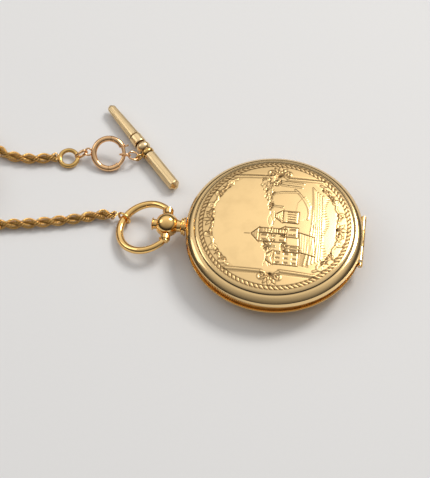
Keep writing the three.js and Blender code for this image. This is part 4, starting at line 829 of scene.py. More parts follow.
@dataclass
class Lids:
    """The front and back lids.

    Args:
        rim_r: outer radius of a rim.
        half: half the thickness of the closed case.
        panel_r, panel_h: radius and height of a panel's edge above mid-plane.
        rows, segments: rings and spokes of the front panel's mesh.
        hinge_x, hinge_h: where a hinge line lies, with its height from mid-plane.
        knuckle_r: radius of a hinge barrel.
        sunk: how far the front panel's middle lies below the closed case's top.
        flat_r: radius of the back lid's resting disc.
    """

    rim_r: float = 23.9
    half: float = 6.0
    panel_r: float = 20.6
    panel_h: float = 4.2
    rows: int = 120
    segments: int = 600
    hinge_x: float = 23.55
    hinge_h: float = 1.25
    knuckle_r: float = 0.75
    sunk: float = 0.22
    flat_r: float = 12.0

    def rim(self) -> Profile:
        """Profile of a rim from its shut edge up to the panel, as radius and height above mid-plane."""
        bevel = []
        for k in range(9):
            t = k / 8
            bevel.append((self.rim_r - 0.1 - 2.0 * t, 2.05 + 1.3 * math.sin(0.5 * math.pi * t) ** 0.9))
        edge = [(self.rim_r - 0.12, 1.5), (self.rim_r, 1.6), (self.rim_r, 1.9), *bevel, (21.74, 3.4)]
        return [*edge, (21.66, 3.62), (21.35, 3.86), (20.98, 4.02), (20.8, 4.06), (20.68, 4.1)]

    def inside(self, top: float) -> Profile:
        """Profile inside a lid's wall, from the middle out to the rim's edge."""
        steps = np.linspace(0.0, 20.4, 10)
        dome = [(float(r), 3.7 + (top - 4.3) * (1 - (r / 20.4) ** 2)) for r in steps]
        return [*dome, (21.45, 2.95), (23.3, 1.95), (23.3, 1.5)]

    def knuckles(self, side: int) -> Shell:
        """The two outer hinge barrels of a lid; side is 1 for the front and -1 for the back."""
        shells = []
        for y0, y1 in ((2.6, 7.2), (-7.2, -2.6)):
            r = self.knuckle_r
            profile = [(0.4, y0), (r - 0.1, y0), (r, y0 + 0.1), (r, y1 - 0.1), (r - 0.1, y1), (0.4, y1)]
            turn = shift(self.hinge_x, 0, self.half + side * self.hinge_h) @ spin(-math.pi / 2, "X")
            shells.append(Bench.moved(Bench.turned(profile, 24), turn))
        return Bench.joined(*shells)

    def lip(self, toward: float, side: int) -> Shell:
        """A crescent lip for the thumbnail.

        Args:
            toward: its direction in degrees.
            side: 1 on the front lid, -1 on the back lid.

        Returns:
            Its closed shell.
        """
        reach, verts, faces = 0.58, [], []
        count = 41
        for k in range(count):
            phi = math.radians(-62 + 124 * k / (count - 1))
            out = reach * math.cos(phi) + math.sqrt(self.rim_r**2 - (reach * math.sin(phi)) ** 2)
            out = max(self.rim_r - 0.15, out - 0.28 + 0.28 * math.cos(phi) ** 2)
            a = math.radians(toward) + phi
            for r, h in ((self.rim_r - 0.3, 1.62), (out, 1.66), (out, 1.9), (self.rim_r - 0.3, 2.12)):
                verts.append((r * math.cos(a), r * math.sin(a), self.half + side * h))
        for k in range(count - 1):
            a, b = 4 * k, 4 * k + 4
            faces += [[a + i, b + i, b + (i + 1) % 4, a + (i + 1) % 4] for i in range(4)]
        faces += [[0, 1, 2, 3], [4 * count - 4 + i for i in (3, 2, 1, 0)]]
        return verts, faces

    def front(self) -> None:
        """Builds the engraved front lid."""
        art = Engraving()
        art.compose()
        crown = self.half - self.sunk
        rise = crown - self.panel_h
        radii = np.linspace(0.0, self.panel_r - 0.02, self.rows)
        top = [(r, crown - rise * (r / self.panel_r) ** 2) for r in radii]
        profile = [*top, *reversed(self.rim()), *reversed(self.inside(self.half - 0.1))]
        verts, faces = Bench.turned(profile, self.segments)
        places = np.array(verts)
        shown = np.tile(np.arange(len(profile)) < self.rows, self.segments)
        height, _, _ = art.carve(places[shown, 0], places[shown, 1])
        places[shown, 2] += height
        places[:, 2] = np.minimum(places[:, 2], self.half - 0.1)
        places[:, 2] += self.half
        extra = Bench.joined(self.knuckles(1), self.lip(-64, 1))
        whole = Bench.joined((places.tolist(), faces), extra)
        piece = Bench.build("front_lid_shell", whole, LID_GOLD, Body.FRONT_LID, "yellow_gold", "front_cover")
        self._mark(piece, art)

    def _mark(self, piece: bpy.types.Object, art: Engraving) -> None:
        """Writes the painted shade mark and the brushed attribute on the finished mesh."""
        mesh = piece.data
        co = np.empty(3 * len(mesh.vertices))
        mesh.vertices.foreach_get("co", co)
        co = co.reshape(-1, 3) / MM
        _, mark, sky = art.carve(co[:, 0], co[:, 1])
        outside = co[:, 2] > 2 * self.half - 2.2
        inner = np.hypot(co[:, 0], co[:, 1]) < self.panel_r
        shown = outside & inner
        # Off the engraved panel (rim, inside, knuckles, lip) a flat 0.16 of painted shade darkens the gold,
        # standing in for the rim's darker reflections.
        for name, values in (("shade_and_oxide_mark", np.where(shown, mark, 0.16)), ("brushed", sky * shown)):
            layer = mesh.attributes.new(name, "FLOAT", "POINT")
            layer.data.foreach_set("value", values.astype(np.float32))

    def back(self) -> None:
        """Builds the plain back lid, polished, with its flat resting disc."""
        wide, deep = self.panel_r - self.flat_r, self.half - self.panel_h
        dome = [(self.flat_r + wide * k / 16, self.half - deep * (k / 16) ** 2) for k in range(17)]
        profile = [(0.0, self.half), *dome, *reversed(self.rim()), *reversed(self.inside(self.half))]
        profile = [(r, self.half - h) for r, h in profile]
        shell = Bench.turned(profile, 240)
        parts = Bench.joined(shell, self.knuckles(-1), self.lip(90, -1))
        Bench.build("back_lid_shell", parts, GOLD, Body.BACK_LID, "yellow_gold", "back_cover")


# ---- Case middle, pendant and bow


def taken_mesh(source: bpy.types.Object) -> bpy.types.Mesh:
    """Takes the evaluated mesh of a new object and removes the object."""
    bpy.context.collection.objects.link(source)
    bpy.context.view_layer.update()
    seen = source.evaluated_get(bpy.context.evaluated_depsgraph_get())
    mesh = bpy.data.meshes.new_from_object(seen)
    bpy.data.objects.remove(source)
    return mesh


class NodeBench:
    """Ends geometry node trees and bakes them to plain meshes."""

    @staticmethod
    def end(g: Graph, result: bpy.types.NodeSocket, material: bpy.types.Material | None = None) -> None:
        """Ends a tree with Realize Instances, smooth shading and, if given, Set Material."""
        last = g.add("GeometryNodeRealizeInstances", {0: result}).outputs[0]
        last = g.add("GeometryNodeSetShadeSmooth", {0: last}).outputs[0]
        if material:
            last = g.add("GeometryNodeSetMaterial", {"Geometry": last, "Material": material}).outputs[0]
        g.link(last, g.sink["Geometry"])

    @staticmethod
    def bake(name: str, data: bpy.types.ID, g: Graph, sizes: dict[str, float | int]) -> bpy.types.Object:
        """Runs a tree and keeps its result as a plain mesh object.

        Args:
            name: the new object's name.
            data: the mesh or curve that the tree starts from.
            g: the tree's graph.
            sizes: values of its named inputs.

        Returns:
            The new object.
        """
        source = bpy.data.objects.new(name, data)
        modifier = source.modifiers.new(name, "NODES")
        modifier.node_group = g.tree
        for item in g.tree.interface.items_tree:
            if item.in_out == "INPUT" and item.name in sizes:
                modifier[item.identifier] = sizes[item.name]
        made = bpy.data.objects.new(name, taken_mesh(source))
        made.name = name
        bpy.context.collection.objects.link(made)
        return made


@dataclass
class CaseMiddle:
    """The reeded band between the lids."""

    band_r: float = 23.28
    half_h: float = 1.28
    reeds: int = 260
    reed_r: float = 0.19
    mid_z: float = 6.0

    def build(self) -> None:
        """Builds the reeding as ribs set round the band."""
        sizes = {"Radius": self.band_r * MM, "Height": 2 * self.half_h * MM, "Mid": self.mid_z * MM}
        sizes["Count"] = self.reeds
        reeds = NodeBench.bake("band_reeds", bpy.data.meshes.new("band"), self._tree(sizes), sizes)
        Bench.file(reeds, Body.CASE, "yellow_gold")

    def _tree(self, sizes: dict[str, float | int]) -> Graph:
        """Builds the node tree: points on a circle and a rib on each."""
        g = Graph.group("reeding", "GeometryNodeTree", {"Geometry": None, **sizes}, ("Geometry",))
        ring = {"Vertices": g.source["Count"], "Radius": g.source["Radius"]}
        circle = g.add("GeometryNodeMeshCircle", ring).outputs["Mesh"]
        place = g.add("ShaderNodeCombineXYZ", {"Z": g.source["Mid"]}).outputs[0]
        lift = g.add("GeometryNodeTransform", {"Geometry": circle, "Translation": place}).outputs[0]
        shape = {"Vertices": 6, "Radius": self.reed_r * MM, "Depth": g.source["Height"]}
        rib = g.add("GeometryNodeMeshCylinder", shape).outputs["Mesh"]
        ribs = g.add("GeometryNodeInstanceOnPoints", {"Points": lift, "Instance": rib}).outputs[0]
        NodeBench.end(g, ribs, GOLD.material())
        return g


@dataclass
class Pendant:
    """The ball pendant, its push piece and the bow.

    Args:
        ball_x, ball_r: the ball's place and radius; the bow turns about its middle.
        mid_z: height of the pendant's axis.
        bow_r, bow_offset: the bow ring's radius and how far its middle lies from the pivots.
        wire_r, end_wire_r: the bow wire's radius at its far end and at its eyes.
        eye_r, eye_length: size of an eye.
        droop: how far the bow hangs at rest, in degrees.
    """

    ball_x: float = -29.2
    ball_r: float = 3.25
    mid_z: float = 6.0
    bow_r: float = 7.6
    bow_offset: float = 6.1
    wire_r: float = 1.05
    end_wire_r: float = 0.8
    eye_r: float = 1.35
    eye_length: float = 1.7
    droop: float = 18.6

    def _across(self, profile: Profile) -> Shell:
        """Turns a profile of radius and x about the pendant's axis."""
        return Bench.moved(Bench.turned(profile, 96), shift(0, 0, self.mid_z) @ spin(math.pi / 2, "Y"))

    def build(self) -> None:
        """Builds the pendant, the push piece, the bow and its screws."""
        ball = []
        for k in range(33):
            a = math.radians(58 - 114 * k / 32)
            ball.append((self.ball_r * math.cos(a), self.ball_x + self.ball_r * math.sin(a)))
        collar = [(0.95, -23.6), (1.25, -23.6), (1.25, -24.1), (2.5, -24.1), (2.6, -24.2), (2.6, -24.5)]
        collar += [(2.45, -24.62), (2.25, -24.68), (2.3, -24.85), (2.3, -25.15), (2.05, -25.35)]
        neck = [(1.68, -25.45), (1.6, -25.6), (1.62, -25.9)]
        shell = self._across([*collar, *neck, *ball, (1.5, -31.93), (1.45, -30.6), (0.95, -30.6)])
        Bench.build("pendant_ball", shell, GOLD, Body.CASE, "yellow_gold", "pendant")
        self._push()
        self._bow()

    def _push(self) -> None:
        """Builds the thin push piece in the ball's outer end."""
        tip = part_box("push_piece")[1][0] / MM - 0.02
        profile = [(0.0, -33.38), (1.1, -33.36), (1.5, -33.28), (1.68, -33.14), (1.7, -32.95), (1.6, -32.82)]
        profile += [(1.36, -32.8), (1.36, -31.75), (0.85, -31.7), (0.85, tip - 0.15), (0.7, tip), (0.0, tip)]
        Bench.build("push_button", self._across(profile), GOLD, Body.PUSH, "yellow_gold", "push_piece")

    def _place(self) -> Matrix:
        """From the bow's own frame, pivots at its origin, to the row frame."""
        return shift(self.ball_x, 0, self.mid_z) @ spin(-math.radians(self.droop), "Y")

    def _bow(self) -> None:
        """Builds the bow: a tapering round ring with an eye at each side of the ball."""
        eye_y = self.ball_r + 0.1
        mid = eye_y + self.eye_length / 2
        gap = math.asin(mid / self.bow_r)
        points = [(-0.95, mid, 0)]
        for k in range(1, 24):
            a = gap + (math.tau - 2 * gap) * k / 24
            points.append((-self.bow_offset + self.bow_r * math.cos(a), self.bow_r * math.sin(a), 0))
        points.append((-0.95, -mid, 0))
        path = smooth_line(points, 150)
        share = np.sin(np.linspace(0, math.pi, 150)).clip(0) ** 0.7
        shells = [Bench.swept(path, self.end_wire_r + (self.wire_r - self.end_wire_r) * share, 28, False)]
        for side in (1, -1):
            y0, y1, r = eye_y, eye_y + self.eye_length, self.eye_r
            profile = [(0.7, y0), (r - 0.2, y0), (r, y0 + 0.25), (r, y1 - 0.25), (r - 0.2, y1), (0.7, y1)]
            shells.append(Bench.moved(Bench.turned(profile, 48), spin(-side * math.pi / 2, "X")))
        whole = Bench.moved(Bench.joined(*shells), self._place())
        Bench.build("bow_ring", whole, GOLD, Body.BOW, "yellow_gold", "bow")
        self._screws(eye_y + self.eye_length + 0.05)

    def _screws(self, head: float) -> None:
        """Builds the two domed, slotted bow screws."""
        shells = []
        for side in (1, -1):
            profile = [(0.0, 2.05), (0.6, 2.05), (0.6, head), (1.0, head), (1.0, head + 0.25)]
            profile += [(0.8, head + 0.42), (0.45, head + 0.49), (0.0, head + 0.5)]
            turn = shift(self.ball_x, 0, self.mid_z) @ spin(-side * math.pi / 2, "X")
            shells.append(Bench.moved(Bench.turned(profile, 40), turn))
        nodes = ("bow_screw_left", "bow_screw_right")
        Bench.build("bow_screws", Bench.joined(*shells), GOLD, Body.CASE, "yellow_gold", *nodes)


# ---- Chain, clasp and T-bar


@dataclass
class RopeChain:
    """The rope chain: two twisted strands of rings along its route, with a coil past the view.

    Args:
        strand_r: distance of a strand's middle from the rope's middle.
        pitch: distance between rings along it.
        lay: length over which a strand turns once.
        lean: tilt of a ring from across its strand, in degrees.
        ring_r, wire_r: a ring's radius and its wire's.
        core_r: radius of the dark core inside, painted shade that fills the gaps between the rings.
        coil_centre, coil_outer, coil_inner: the coil's middle and its two radii.
        coil_climb: how far its second turn lies above the first.
        run_to_bow, run_to_fittings: points of the two runs, in millimetres.
    """

    strand_r: float = 0.66
    pitch: float = 0.47
    lay: float = 8.2
    lean: float = -58.0
    ring_r: float = 0.66
    wire_r: float = 0.2
    core_r: float = 0.62
    coil_centre: Place = (-99.0, 9.5)
    coil_outer: float = 19.2
    coil_inner: float = 15.8
    coil_climb: float = 3.15

    run_to_bow: tuple[Point, ...] = (
        *((-44.25, 4.0, 2.5), (-47.8, 4.5, 1.6), (-53.0, 2.9, 1.6), (-58.3, 1.5, 1.6)),
        *((-63.6, 0.3, 1.6), (-68.9, -0.7, 1.6), (-74.3, -1.5, 1.6), (-79.8, -2.8, 1.6)),
    )
    run_to_fittings: tuple[Point, ...] = (
        *((-85.2, 27.6, 4.3), (-81.0, 24.4, 2.4), (-76.6, 21.8, 1.6)),
        *((-70.0, 21.2, 1.6), (-66.4, 21.7, 1.6), (-62.95, 22.4, 1.6)),
    )

    def route(self) -> np.ndarray:
        """The whole centre line, from the bow to the jump ring."""
        cx, cy = self.coil_centre
        points = list(self.run_to_bow)
        points += [(cx + 14.0, cy - 14.9, 1.6), (cx + 8.2, cy - 17.9, 1.6)]
        total, first, ramp, steps = 905.0, 395.0, 60, 60
        for k in range(steps + 1):
            turned = total * k / steps
            a = math.radians(-90 - turned)
            inward = min(1.0, turned / first)
            outward = max(0.0, (turned - first - ramp) / (total - first - ramp))
            r = self.coil_outer - (self.coil_outer - self.coil_inner) * (inward - outward)
            climb = min(1.0, max(0.0, (turned - first) / ramp))
            points.append((cx + r * math.cos(a), cy + r * math.sin(a), 1.6 + self.coil_climb * climb))
        points += [(cx + 8.0, cy + 19.2, 4.7)]
        points += list(self.run_to_fittings)
        return smooth_line(points, 760)

    def build(self) -> tuple[bpy.types.Object, float, list]:
        """Builds the rope.

        Returns:
            The rope, its length in metres and its path in metres.
        """
        line = self.route()
        curve = bpy.data.curves.new("rope_line", "CURVE")
        curve.dimensions = "3D"
        spline = curve.splines.new("POLY")
        spline.points.add(len(line) - 1)
        for point, place in zip(spline.points, line, strict=True):
            point.co = (*(place * MM), 1.0)
        lengths = {"Pitch": self.pitch, "Ring": self.ring_r, "Wire": self.wire_r}
        lengths |= {"Offset": self.strand_r, "Core": self.core_r}
        sizes = {name: value * MM for name, value in lengths.items()}
        sizes |= {"Twist": math.tau * self.pitch / self.lay, "Lean": math.radians(self.lean)}
        rope = NodeBench.bake("rope_chain", curve, self._tree(sizes), sizes)
        return rope, line_length(line) * MM, (line[::2] * MM).tolist()

    def _tree(self, sizes: dict[str, float]) -> Graph:
        """Two strands of rings round the route, and a dark core of painted shade inside them."""
        g = Graph.group("rope", "GeometryNodeTree", {"Geometry": None, **sizes}, ("Geometry",))
        route = g.source["Geometry"]
        steps = {"Curve": route, "Length": g.source["Pitch"]}
        points = g.add("GeometryNodeCurveToPoints", steps, mode="LENGTH").outputs
        ring = self._tube(g, self._circle(g, "Ring", 10), self._circle(g, "Wire", 5), False)
        strands = g.add("GeometryNodeJoinGeometry")
        for start in (0.0, math.pi):
            g.link(self._strand(g, points, ring, start), strands.inputs[0])
        core = self._tube(g, route, self._circle(g, "Core", 8), True)
        whole = g.add("GeometryNodeJoinGeometry")
        for shape, finish in ((strands.outputs[0], ROPE_GOLD), (core, SHADE_CORE_AND_SEAM_GOLD)):
            dressed = g.add("GeometryNodeSetMaterial", {"Geometry": shape, "Material": finish.material()})
            g.link(dressed.outputs[0], whole.inputs[0])
        NodeBench.end(g, whole.outputs[0])
        return g

    @staticmethod
    def _circle(g: Graph, radius: str, resolution: int) -> bpy.types.NodeSocket:
        """Adds a circle whose radius is a named input."""
        size = {"Resolution": resolution, "Radius": g.source[radius]}
        return g.add("GeometryNodeCurvePrimitiveCircle", size).outputs["Curve"]

    @staticmethod
    def _tube(g: Graph, line: object, section: object, caps: bool) -> bpy.types.NodeSocket:
        """Adds a section swept along a line."""
        sweep = {"Curve": line, "Profile Curve": section, "Fill Caps": caps}
        return g.add("GeometryNodeCurveToMesh", sweep).outputs["Mesh"]

    @staticmethod
    def _rotated(g: Graph, rotation: object, turn: dict) -> bpy.types.NodeSocket:
        """Adds a turn about a rotation's own axes; turn gives the angle for an axis."""
        by = {"Rotation": rotation, "Rotate By": g.add("ShaderNodeCombineXYZ", turn).outputs[0]}
        return g.add("FunctionNodeRotateRotation", by, rotation_space="LOCAL").outputs[0]

    def _strand(self, g: Graph, points: object, ring: object, start: float) -> bpy.types.NodeSocket:
        """Adds the nodes of one strand.

        Args:
            g: the tree's graph.
            points: sockets of the points on the route.
            ring: socket of a ring's mesh.
            start: the strand's first angle.

        Returns:
            The socket of its rings.
        """
        index = g.add("GeometryNodeInputIndex").outputs[0]
        turn = g.math("MULTIPLY_ADD", index, g.source["Twist"], start)
        around = self._rotated(g, points["Rotation"], {"Z": turn})
        offset = g.add("ShaderNodeCombineXYZ", {"X": g.source["Offset"]}).outputs[0]
        outward = g.add("FunctionNodeRotateVector", {"Vector": offset, "Rotation": around}).outputs[0]
        shift = g.add("GeometryNodeSetPosition", {"Geometry": points["Points"], "Offset": outward})
        lean = self._rotated(g, around, {"X": g.source["Lean"]})
        rings = {"Points": shift.outputs[0], "Instance": ring, "Rotation": lean}
        return g.add("GeometryNodeInstanceOnPoints", rings).outputs[0]


@dataclass
class Fittings:
    """The bow's end ring, the jump ring, the clasp and the small links.

    Args:
        jump_centre, clasp_centre: middles of the jump ring and the clasp.
        clasp_tilt: the clasp's tilt in degrees.
        clasp_r, clasp_tube: the clasp's radius and its tube's.
        end_size, jump_size, clasp_link_size, bar_link_size, eye_size: radius of a ring and of its wire.
    """

    jump_centre: Point = (-59.4, 22.7, 1.3)
    clasp_centre: Point = (-48.3, 24.2, 3.0)
    clasp_tilt: float = 30.0
    clasp_r: float = 4.2
    clasp_tube: float = 0.85
    end_size: Place = (1.78, 0.35)
    jump_size: Place = (2.45, 0.61)
    clasp_link_size: Place = (1.45, 0.255)
    bar_link_size: Place = (1.5, 0.255)
    eye_size: Place = (0.95, 0.26)

    def _clasp_place(self) -> Matrix:
        """From the clasp's own frame to the row frame."""
        return shift(*self.clasp_centre) @ spin(math.radians(self.clasp_tilt), "X")

    def build(self) -> list[bpy.types.Object]:
        """Builds the rings and the clasp.

        Returns:
            The pieces at the chain's far end.
        """
        low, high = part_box("chain_end_ring")
        mid = [(a + b) / 2 / MM for a, b in zip(low, high, strict=True)]
        turn = shift(*mid) @ spin(-math.asin(3.7 / 7.6), "Z") @ spin(math.pi / 2, "X")
        end = Bench.ring(*self.end_size, turn)
        Bench.build("end_ring", end, GOLD, Body.BOW, "yellow_gold", "chain_end_ring")
        wire = Bench.ring(*self.jump_size, shift(*self.jump_centre) @ spin(math.radians(10), "X"))
        jump = Bench.build("jump_ring_wire", wire, JUMP_GOLD, Body.CASE, "rose_gold", "jump_ring")
        cx, cy, cz = self.clasp_centre
        tip = cx + self.clasp_r
        stand = shift(tip + 0.34, cy, cz) @ spin(math.pi / 2 + math.radians(self.clasp_tilt), "X")
        lay = shift(tip + 2.66, cy + 0.2, cz - 0.35) @ spin(0.25, "Y") @ spin(-0.2, "X")
        pair = Bench.joined(Bench.ring(*self.clasp_link_size, stand), Bench.ring(*self.bar_link_size, lay))
        links = Bench.build("bar_links", pair, ROSE_GOLD, Body.CASE, "rose_gold", "clasp_link", "bar_link")
        return [jump, links, self._shackle(), *self._clasp()]

    def _shackle(self) -> bpy.types.Object:
        """Builds the swivel link: a thick rounded strap with an eye at each end."""
        start, end = Vector((-57.03, 23.3, 1.41)), Vector((-54.98, 24.2, 3.0))
        along = (end - start).normalized()
        across = Vector((0, 0, 1)).cross(along).normalized()
        up = along.cross(across)
        half = (end - start).length / 2
        a = np.linspace(0, math.tau, 64, endpoint=False)
        x = np.clip(1.6 * np.cos(a), -1, 1) * 0.35 * half * 2 + 0.62 * np.cos(a)
        ring = np.column_stack([x, 0.92 * np.sin(a), np.zeros(64)])
        turn = Matrix((along, up, -across)).transposed().to_4x4()
        strap = Bench.swept(ring, np.full(64, 0.42), 14, True)
        shell = Bench.moved(strap, shift(*(start + end) / 2) @ turn)
        return Bench.build("swivel_strap", shell, ROSE_GOLD, Body.CASE, "rose_gold", "swivel_link")

    def _arc(self, r: float, wire: float, start: float, end: float) -> Shell:
        """A stretch of ring tube between two angles, in the clasp's own frame."""
        a = np.linspace(start, end, 90)
        path = np.pad(polar(r, a), ((0, 0), (0, 1)))
        radii = np.full(90, wire)
        radii[:2] *= (0.86, 0.97)
        radii[-2:] *= (0.97, 0.86)
        return Bench.swept(path, radii, 24, False)

    def _washer(self, angle: float) -> Shell:
        """A thin dark seam round the clasp's tube at an angle."""
        r, thin = self.clasp_tube, 0.05
        shell = Bench.turned([(r - 0.15, -thin), (r, -thin), (r, thin), (r - 0.15, thin)], 36)
        return Bench.moved(shell, spin(angle, "Z") @ shift(self.clasp_r, 0, 0) @ spin(math.pi / 2, "X"))

    def _clasp(self) -> list[bpy.types.Object]:
        """Builds the clasp's tube with its collars and eye, and its gate with the knob."""
        at = self._clasp_place()
        shells = [self._arc(self.clasp_r, self.clasp_tube - 0.03, 0.55, math.tau - 0.75)]
        for a in (0.62, math.tau - 0.82):
            shells.append(self._arc(self.clasp_r, self.clasp_tube + 0.02, a - 0.06, a + 0.06))
        eye_at = self.clasp_r + self.clasp_tube + self.eye_size[0] - 0.27
        shells.append(Bench.ring(*self.eye_size, shift(-eye_at, 0, 0)))
        tube = Bench.moved(Bench.joined(*shells), at)
        body = Bench.build("clasp_tube", tube, ROSE_GOLD, Body.CASE, "rose_gold", "clasp_ring")
        seams = Bench.moved(Bench.joined(*(self._washer(a) for a in (1.5, 4.78))), at)
        Bench.build("clasp_seams", seams, SHADE_CORE_AND_SEAM_GOLD, Body.CASE, "rose_gold")
        profile = [(0.0, 4.3), (0.26, 4.3), (0.26, 5.5), (0.3, 5.6), (0.3, 5.8), (0.2, 5.92), (0.0, 5.95)]
        knob = Bench.moved(Bench.turned(profile, 20), spin(0.5, "Z") @ spin(math.pi / 2, "Y"))
        gate = Bench.moved(Bench.joined(self._arc(self.clasp_r, 0.5, -0.84, 0.88), knob), at)
        latch = Bench.build("clasp_latch", gate, ROSE_GOLD, Body.CLASP_GATE, "rose_gold", "clasp_gate")
        return [body, latch]


@dataclass
class ToggleBar:
    """The T-bar: tapering chased barrel, grooves, polished bead, matte collar and facetted tips.

    Args:
        middle, direction: its middle and the way that it points.
        length: from tip to tip.
        collar_at: the collar's place along it.
        flutes: how many flutes go round a barrel.
        tip: length of a squared tip.
    """

    middle: Point = (-39.45, 28.35, 2.0)
    direction: Point = (0.640503, -0.767956, 0.0)
    length: float = 34.5
    collar_at: float = 2.7
    flutes: int = 24
    tip: float = 1.1

    def _place(self) -> Matrix:
        """From a frame with the bar along +Z to the row frame."""
        along = Vector(self.direction)
        side = along.cross(Vector((0, 0, 1)))
        turn = Matrix((side, side.cross(along) * -1, along)).transposed()
        return shift(*self.middle) @ turn.to_4x4()

    def _profile(self) -> Profile:
        """Radius and place along the bar, from its far tip to its near tip."""
        half = self.length / 2
        bead = [(1.3 + 0.68 * math.sin(math.pi * k / 14) ** 0.55, -0.75 + 2.4 * k / 14) for k in range(15)]
        tip = [(0.0, 0.05 - half), (0.45, 0.42 - half), (0.92, 0.82 - half), (1.16, 1.3 - half)]
        waist = [(1.62, -4.3), (1.5, -4.15), (1.3, -4.1), (1.3, -3.85), (1.78, -3.7), (1.8, -3.6)]
        seat = [(1.8, -1.25), (1.74, -1.1), (1.3, -1.05), *bead, (1.25, 1.75), (1.25, 3.6), (1.6, 3.68)]
        end = [(1.66, 3.8), (1.66, half - 1.25), (1.5, half - 1.05), (0.62, half - 0.12), (0.0, half)]
        return [*tip, *waist, *seat, *end]

    def build(self) -> list[bpy.types.Object]:
        """Builds the bar and its collar."""
        profile = self._fine(self._profile())
        verts, faces = Bench.turned(profile, 96)
        barrel = Bench.moved(([self._facet(v) for v in verts], faces), self._place())
        bar = Bench.build("toggle_barrel", barrel, BAR_GOLD, Body.TOGGLE_BAR, "yellow_gold", "toggle_bar")
        self._mark(bar)
        half = 0.62
        outer = [(1.83, 0.3 - half), (1.83, half - 0.3)]
        band = [(1.35, -half), (1.6, -half), *outer, (1.6, half), (1.35, half)]
        band = [(r, h + self.collar_at) for r, h in band]
        inverse = self._place().inverted()
        eye_at = Vector(self.middle) + Vector(self.direction) * self.collar_at
        eye_at += Vector((-0.767956, -0.640503, 0)) * 2.9
        eye = Bench.ring(1.0, 0.28, shift(*(inverse @ eye_at)), 48, 14)
        shell = Bench.moved(Bench.joined(Bench.turned(band, 64), eye), self._place())
        nodes = ("rose_gold", "toggle_collar")
        collar = Bench.build("toggle_collar_band", shell, JUMP_GOLD, Body.CASE, *nodes)
        return [bar, collar]

    def _fine(self, profile: Profile) -> Profile:
        """Adds points along the long straight stretches for the chasing."""
        fine = [profile[0]]
        for (r0, h0), (r1, h1) in zip(profile[:-1], profile[1:], strict=True):
            steps = max(1, round((h1 - h0) / 0.35))
            fine += [(r0 + (r1 - r0) * k / steps, h0 + (h1 - h0) * k / steps) for k in range(1, steps + 1)]
        return fine

    def _flute(self, z: float, a: float) -> float:
        """Depth share of the flutes at a place along the bar and an angle; 0 off the barrels."""
        return 0.5 + 0.5 * math.cos(self.flutes * a) if z < -4.4 or z > 4.0 else 0.0

    def _facet(self, v: Point) -> Point:
        """Flutes the barrel and squares its tips."""
        x, y, z = v
        r, a = math.hypot(x, y), math.atan2(y, x)
        half = self.length / 2
        if abs(z) > half - self.tip and r > 1e-6:
            corner = math.cos(math.pi / 4) / math.cos((a % (math.pi / 2)) - math.pi / 4)
            r *= min(1.0, 1.18 * corner)
        elif r > 1.0:
            r -= 0.05 * self._flute(z, a)
        return r * math.cos(a), r * math.sin(a), z

    def _mark(self, bar: bpy.types.Object) -> None:
        """Darkens the flutes and the grooves."""
        inverse = self._place().inverted()
        layer = bar.data.attributes.new("shade_and_oxide_mark", "FLOAT", "POINT")
        values = []
        for vertex in bar.data.vertices:
            x, y, z = inverse @ (vertex.co / MM)
            a = math.atan2(y, x)
            groove = 1.0 if math.hypot(x, y) < 1.35 and abs(z) < 5 else 0.0
            values.append(max(0.3 * self._flute(z, a), groove))
        layer.data.foreach_set("value", np.array(values, np.float32))


# ---- Dial, crystal and movement


